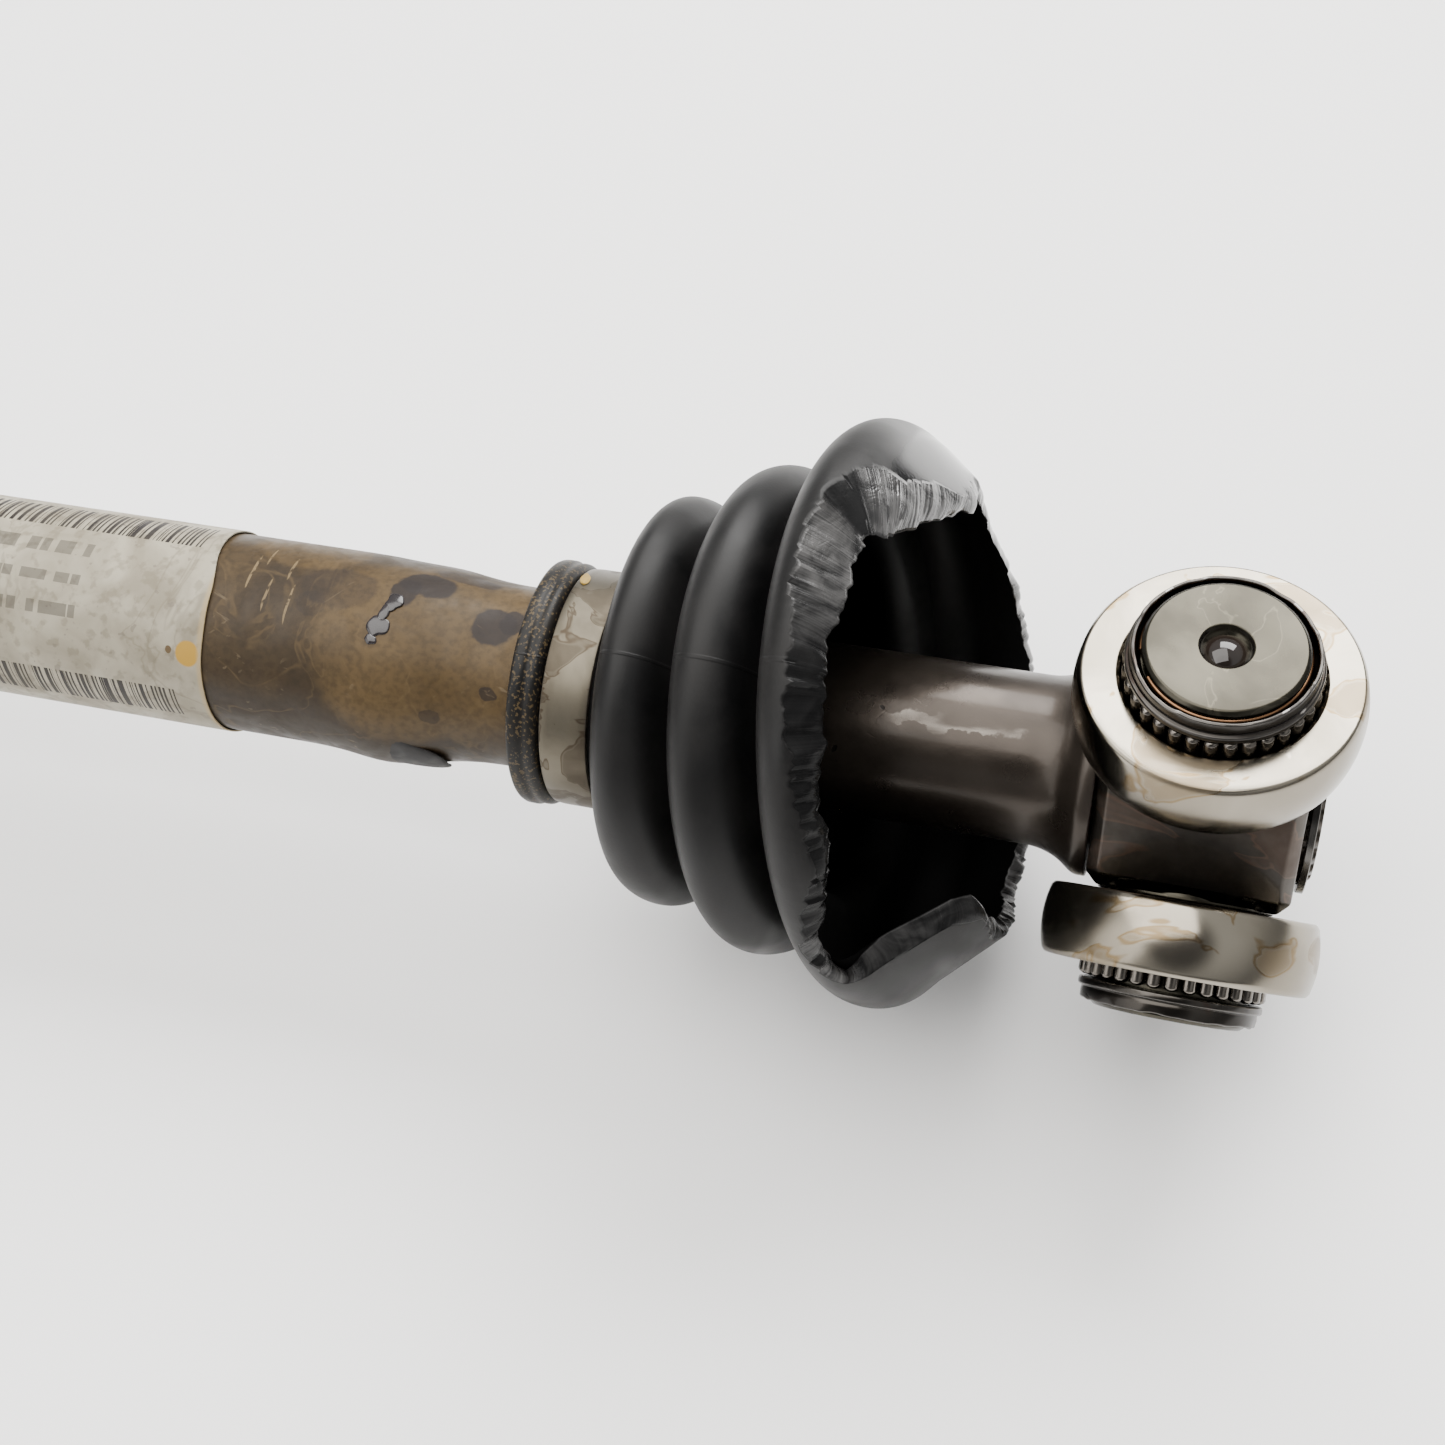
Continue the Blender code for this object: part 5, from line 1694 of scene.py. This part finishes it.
# ---- Wheel joint ------------------------------------------------------------------------------------
@dataclass
class WheelJoint:
    """The bell, what turns inside it and its boot, sizes in millimetres from the joint's centre."""

    bell: float = 41.8
    seat: float = 30.5
    ball_circle: float = 27.5
    track_deep: float = 8.35
    track_wide: float = 9.1
    mouth: float = 20.0
    shoulder: float = 38.0
    relief_length: float = 4.0
    spline: float = 13.4
    spline_depth: float = 1.0
    spline_teeth: int = 27
    spline_length: float = 48.0
    thread: float = 11.0
    thread_pitch: float = 1.5
    thread_depth: float = 0.75
    ball: float = 7.9

    def cavity(self) -> np.ndarray:
        """Shapes the bell's inside: a ball seat with six tracks, opening to the mouth.

        Returns:
            Rows of rings.
        """
        steps = 240
        turn = np.linspace(0, math.tau, steps, endpoint=False)
        rows = []
        for angle in np.linspace(64, 179.9, 80):
            lean = math.radians(angle)
            across = np.full(steps, 2.0)
            for number in range(6):
                offset = turn - math.radians(60 * number)
                side = np.abs(np.sin(offset)) * math.sin(lean)
                across = np.where(np.cos(offset) > 0, np.minimum(across, side), across)
            side = np.minimum(across, 0.33)
            a = (1 - side**2) / self.track_deep**2 + side**2 / self.track_wide**2
            b = -2 * np.sqrt(1 - side**2) * self.ball_circle / self.track_deep**2
            c = self.ball_circle**2 / self.track_deep**2 - 1
            root = b * b - 4 * a * c
            track = np.where(root > 0, (-b + np.sqrt(np.maximum(root, 0))) / (2 * a), 0)
            ends = smoothstep(np.full(steps, angle), 133, 129)
            radius = np.maximum(self.seat, track * ends)
            rows.append(on_shaft(radius * math.cos(lean), radius * math.sin(lean), turn))
        return np.array(rows[::-1]) * MM

    def make_bell(self, finish: Finish) -> None:
        """Makes the bell with its shoulder, rounded splines and cut thread in one piece.

        Args:
            finish: its material.
        """
        relief = -self.shoulder - self.relief_length
        spline_end = relief - self.spline_length
        mouth = [
            (self.mouth - 3.2, 37.3, 0.3), (self.mouth, 38.8, 0.4), (self.mouth, self.bell, 0.8),
            (-4, self.bell, 3),
        ]
        dome = []
        for x in np.linspace(-9, -32.5, 12):
            dome.append((x, math.sqrt(self.bell**2 - x**2), 0.5))
        foot = [
            (-33.6, 22.6, 0.8), (-34.2, 21.5, 0.4), (-self.shoulder, 21.5, 0.4), (-self.shoulder, 14.5, 0.5),
            (relief, 14.5, 0.5), (relief - 0.8, 11.6, 0.2), (spline_end + 1, 11.6, 0.3),
            (spline_end + 0.6, 10.0, 0.2), (spline_end - 2.0, 10.0, 0.3),
            (spline_end - 2.6, self.thread, 0.1), (spline_end - 22.8, self.thread, 0.1),
            (spline_end - 24.0, self.thread - 1.2, 0.1),
            (spline_end - 24.0, 1.6, 0.3), (spline_end - 22.6, 0, 0),
        ]
        line = np.array(spaced(filleted(mouth + dome + foot, closed=False), 0.0004, closed=False))
        steps = 240
        turn = np.linspace(0, math.tau, steps, endpoint=False)
        x, radius = line[:, :1], line[:, 1:]
        in_thread = (x < (spline_end - 2.8) * MM) & (x > (spline_end - 23.4) * MM) & (radius > 0.0098)
        cut = np.abs(np.mod(x / (self.thread_pitch * MM) + turn[None, :] / math.tau, 1.0) * 2 - 1)
        outside = on_shaft(x, np.where(in_thread, radius - cut * self.thread_depth * MM, radius), turn)
        shell = grid_mesh("bell_shell", np.concatenate([self.cavity(), outside]), False, sharp=32)
        teeth = (self.spline * MM, self.spline_depth * MM, self.spline_teeth)
        stub = splined("bell_spline", *teeth, spline_end * MM, (relief + 0.2) * MM)
        bell = joined("bell_fine", (shell, stub))
        bell.data.transform(Matrix.Translation((WHEEL_X, 0, 0)))
        finish_piece(bell, "bell", finish, ("bell",))

    def folds(self) -> list[Fold]:
        """Lists the wheel boot's folds, from the bell's mouth to the shaft.

        Returns:
            The folds.
        """
        crests = ((31.2, 42.8), (42.6, 39.0), (53.6, 34.2), (64.2, 29.2), (74.4, 24.2))
        valleys = ((24.5, 39.2), (37.0, 34.5), (48.2, 30.0), (59.0, 25.5), (69.4, 20.8), (80.6, 16.6))
        folds = [Fold(x, r, 3.5, FoldKind.CREST) for x, r in crests]
        folds += [Fold(x, r, 1.2, FoldKind.VALLEY) for x, r in valleys]
        return sorted(folds, key=lambda fold: fold.axial)

    def make_boot(self, finish: Finish) -> None:
        """Makes the sound boot over the bell's mouth.

        Args:
            finish: its material.
        """
        wide = [
            (5.0, 42.1, 0.2), (5.0, 44.05, 0.5), (7.6, 44.05, 0.3), (7.7, 43.4, 0.2), (17.3, 43.4, 0.2),
            (17.4, 44.05, 0.3), (20.9, 44.05, 0.8), (22.3, 42.0, 0.8),
        ]
        small = [
            (83.8, 16.5, 0.4), (91.0, 16.4, 0.2), (91.1, 17.2, 0.3), (92.8, 18.2, 0.5), (95.0, 18.2, 0.5),
            (95.5, 17.6, 0.3), (95.5, 13.75, 0.2), (82.5, 13.75, 0.2),
        ]
        lining = [point for point in bellows(self.folds(), 1.8, 10) if point[1] > 0.0139]
        profile = filleted(wide) + bellows(self.folds(), 0.0, 12) + filleted(small) + lining[::-1]
        profile += [(20.6 * MM, 42.1 * MM)]
        obj = turned("wheel_boot_fine", spaced(profile, 0.0014), 180, sharp=50)
        along_shaft(obj, WHEEL_X)
        obj.data.materials.append(finish)
        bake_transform(obj)
        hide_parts("wheel_boot")
        LOG.info("%s bends between shaft and bell", obj.name)

    def make_clamp(self, node: str, body: str, inner: float, outer: float, finish: Finish) -> None:
        """Makes a plain band.

        Args:
            node: the CAD node it replaces.
            body: the body it moves with.
            inner: its inner radius, in millimetres.
            outer: its outer radius, in millimetres.
            finish: its material.
        """
        low, high = lowest(node), highest(node)
        length = (high - low) / MM
        corners = [(0, inner, 0.1), (0, outer, 0.3), (length, outer, 0.3), (length, inner, 0.1)]
        band = turned(node + "_fine", spaced(filleted(corners), 0.001), 216)
        along_shaft(band, low)
        finish_piece(band, body, finish, (node,))

    def dress_inside(self, race: Finish, ball: Finish) -> None:
        """Gives the pieces inside the bell their finishes, with the balls made fine.

        Args:
            race: the material of the cage and the inner race.
            ball: the balls' material.
        """
        for node in ("cage", "inner_race"):
            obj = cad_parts[node]
            for slot in obj.material_slots:
                slot.link = "OBJECT"
                slot.material = race
        for number in range(1, 7):
            node = f"ball_{number}"
            centre = middle(node)
            angles = np.linspace(0, math.pi, 25)
            profile = [(-self.ball * MM * math.cos(a), self.ball * MM * math.sin(a)) for a in angles]
            sphere = turned(node + "_fine", profile, 48, closed=False, sharp=80)
            sphere.data.transform(Matrix.Translation(centre))
            finish_piece(sphere, "cage", ball, (node,))


# ---- Studio -----------------------------------------------------------------------------------------
@dataclass
class Studio:
    """Floor, lights and camera, in metres from the tripod's centre."""

    eye: Vector = Vector((-0.00146, -0.1567, 0.2369))
    right: Vector = Vector((0.96039, 0.25863, -0.10370))
    upward: Vector = Vector((-0.15611, 0.80767, 0.56861))
    lens: float = 50.06
    shift: tuple[float, float] = (0.0024, 0.0017)

    def make_floor(self) -> None:
        """A wide pale floor under the axle."""
        bpy.ops.mesh.primitive_plane_add(size=6.0, location=(0, 0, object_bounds()[0][2] - 0.0002))
        floor = bpy.context.object
        floor.name = "floor"
        material, graph, shader = new_material("pale_floor")
        grain = graph.group(EFFECTS.grain, Place=graph.place(), Size=40.0, Mottle_Size=3.0)
        pale = graph.mix(grain.outputs["Mottle"], (0.90, 0.90, 0.90), (0.88, 0.88, 0.88))
        graph.feed(shader.inputs["Base Color"], pale)
        shader.inputs["Roughness"].default_value = 0.9
        floor.data.materials.append(material)
        floor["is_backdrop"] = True

    def make_light(
        self, name: str, place: Vector, size: tuple[float, float], power: float, warmth: float
    ) -> None:
        """Makes a soft rectangular light that looks at the tripod.

        Args:
            name: the light's name.
            place: where it hangs, in metres from the point it looks at.
            size: its width and height, in metres.
            power: its power, in watts.
            warmth: how warm its colour is, 0 to 1.
        """
        light = bpy.data.lights.new(name, "AREA")
        light.shape = "RECTANGLE"
        light.size, light.size_y = size
        light.energy = power
        light.color = (1.0, 1.0 - 0.06 * warmth, 1.0 - 0.14 * warmth)
        obj = bpy.data.objects.new(name, light)
        bpy.context.scene.collection.objects.link(obj)
        target = Vector((TRIPOD_X - 0.05, 0, 0))
        obj.location = place + target
        obj.rotation_euler = (-place).to_track_quat("-Z", "Y").to_euler()

    def make_lights(self) -> None:
        """Makes a bright sky that is dark towards the viewer, a window above and behind, and soft fills."""
        world = bpy.data.worlds.new("studio")
        bpy.context.scene.world = world
        world.use_nodes = True
        graph = Graph(world.node_tree)
        direction = graph.node("ShaderNodeTexCoord").outputs["Generated"]
        height = graph.node("ShaderNodeSeparateXYZ", {0: direction}).outputs[2]
        sky = graph.mix(graph.band(height, -0.1, 0.75), (0.16, 0.16, 0.17), (1.0, 1.0, 0.99))
        viewer = graph.vector("DOT_PRODUCT", direction, tuple(self.eye.normalized()))
        shade = graph.times(graph.band(viewer, 0.80, 0.95), 0.88)
        sky = graph.mix(shade, sky, (0.03, 0.03, 0.035))
        background = world.node_tree.nodes["Background"]
        graph.feed(background.inputs["Color"], sky)
        background.inputs["Strength"].default_value = 0.95
        self.make_light("window", Vector((0.10, 0.75, 0.80)), (0.9, 0.6), 27.0, 0.2)
        self.make_light("ceiling", Vector((-0.35, -0.10, 1.2)), (1.3, 1.3), 30.0, 0.4)
        self.make_light("side_fill", Vector((-0.9, -0.7, 0.5)), (0.8, 0.8), 5.0, 0.3)

    def make_camera(self) -> None:
        """The camera, a little above the viewer's side of the tripod."""
        camera = bpy.data.cameras.new("camera")
        camera.lens = self.lens
        camera.sensor_width = 36.0
        camera.shift_x, camera.shift_y = self.shift
        camera.clip_start = 0.01
        obj = bpy.data.objects.new("camera", camera)
        bpy.context.scene.collection.objects.link(obj)
        turn = Matrix((self.right, self.upward, self.right.cross(self.upward))).transposed()
        obj.matrix_world = Matrix.Translation(self.eye + Vector((TRIPOD_X, 0, 0))) @ turn.to_4x4()
        bpy.context.scene.camera = obj


def main() -> None:
    """Builds every piece, dresses it and sets the studio."""
    logging.basicConfig(level=logging.INFO, format="%(name)s: %(message)s")
    studio = Studio()
    studio.make_camera()
    studio.make_lights()
    studio.make_floor()
    dark = Steel(
        "dark_forged_steel", (0.045, 0.038, 0.031), (0.020, 0.016, 0.013), roughness=0.32, unevenness=0.2,
        stain=(0.085, 0.050, 0.034), stain_size=60.0, stain_cover=0.4, grain_strength=0.4,
        grain_depth=0.00005, oil=0.25,
    ).material()
    olive = Steel(
        "oiled_trunnion_steel", (0.044, 0.0405, 0.0305), (0.026, 0.0235, 0.0175), roughness=0.20,
        unevenness=0.14, stain=(0.060, 0.055, 0.041), stain_size=110.0, stain_cover=0.35,
        grain_strength=0.10, edge=0.0, oil=0.1, worn=0.0,
    ).material()
    ground = Steel(
        "ground_roller_steel", (0.270, 0.245, 0.200), (0.200, 0.178, 0.140), roughness=0.15, unevenness=0.12,
        worn=0.15, stain=(0.150, 0.098, 0.038), stain_size=62.0, stain_cover=0.42, grain_strength=0.08,
        edge=0.3,
    ).material()
    spring = Steel(
        "dark_spring_steel", (0.036, 0.032, 0.027), (0.012, 0.010, 0.009), roughness=0.2, unevenness=0.18,
        stain=(0.030, 0.020, 0.015), edge=1.0, oil=0.25,
    ).material()
    needle = Steel(
        "needle_steel", (0.085, 0.075, 0.062), (0.020, 0.016, 0.013), roughness=0.14, unevenness=0.1,
        stain=(0.030, 0.020, 0.015), stain_size=300.0, stain_cover=0.6, edge=0.5,
    ).material()
    band = Steel(
        "dull_band_steel", (0.120, 0.107, 0.082), (0.066, 0.056, 0.041), roughness=0.38, unevenness=0.2,
        stain=(0.038, 0.027, 0.018), stain_size=110.0, stain_cover=0.55, grain_strength=0.3,
    ).material()
    copper = Plain("copper_washed_wire", (0.26, 0.14, 0.075), 0.25, 1.0).material()
    oil = Plain("old_oil", (0.014, 0.010, 0.008), 0.03).material()
    coating = Plain("hard_coating", (0.014, 0.011, 0.012), 0.16).material()
    yellow = Plain("yellow_marking", (0.42, 0.27, 0.05), 0.45).material()

    shaft = ShaftAssembly()
    shaft.make_shaft(TubePaint().material())
    shaft.make_label(LabelPaper(edge=TRIPOD_X - shaft.label_edge * MM).material())
    shaft.make_drips(coating, Plain("matt_coating", (0.008, 0.0065, 0.006), 0.6).material())
    shaft.make_circlip("tripod_circlip", spring)
    shaft.make_circlip("inner_race_circlip", spring)
    angles = (0.0, 120.0, 240.0)
    Tripod().make_spider(dark, olive, angles)
    for number, angle in enumerate(angles, 1):
        arm = TripodArm(number, angle)
        arm.make_needles(needle)
        arm.make_roller(ground)
        arm.make_retainer(spring)
        arm.make_snap_ring(copper)
        arm.make_oil_bead(oil)
    boot = GearboxBoot()
    torn_rubber = BootRubber(
        "torn_black_rubber", dirt_end=TRIPOD_X - 0.0911, glossy_from=TRIPOD_X - 0.048, torn=True
    ).material()
    boot.make_boot(torn_rubber)
    boot.make_clamp(band)
    boot.make_chip(yellow)
    joint = WheelJoint()
    joint.make_bell(dark)
    joint.dress_inside(dark, ground)
    joint.make_boot(BootRubber().material())
    joint.make_clamp("wheel_boot_small_clamp", "shaft", 16.75, 17.5, band)
    joint.make_clamp("wheel_boot_large_clamp", "bell", 43.65, 44.15, band)


if __name__ == "__main__":
    main()
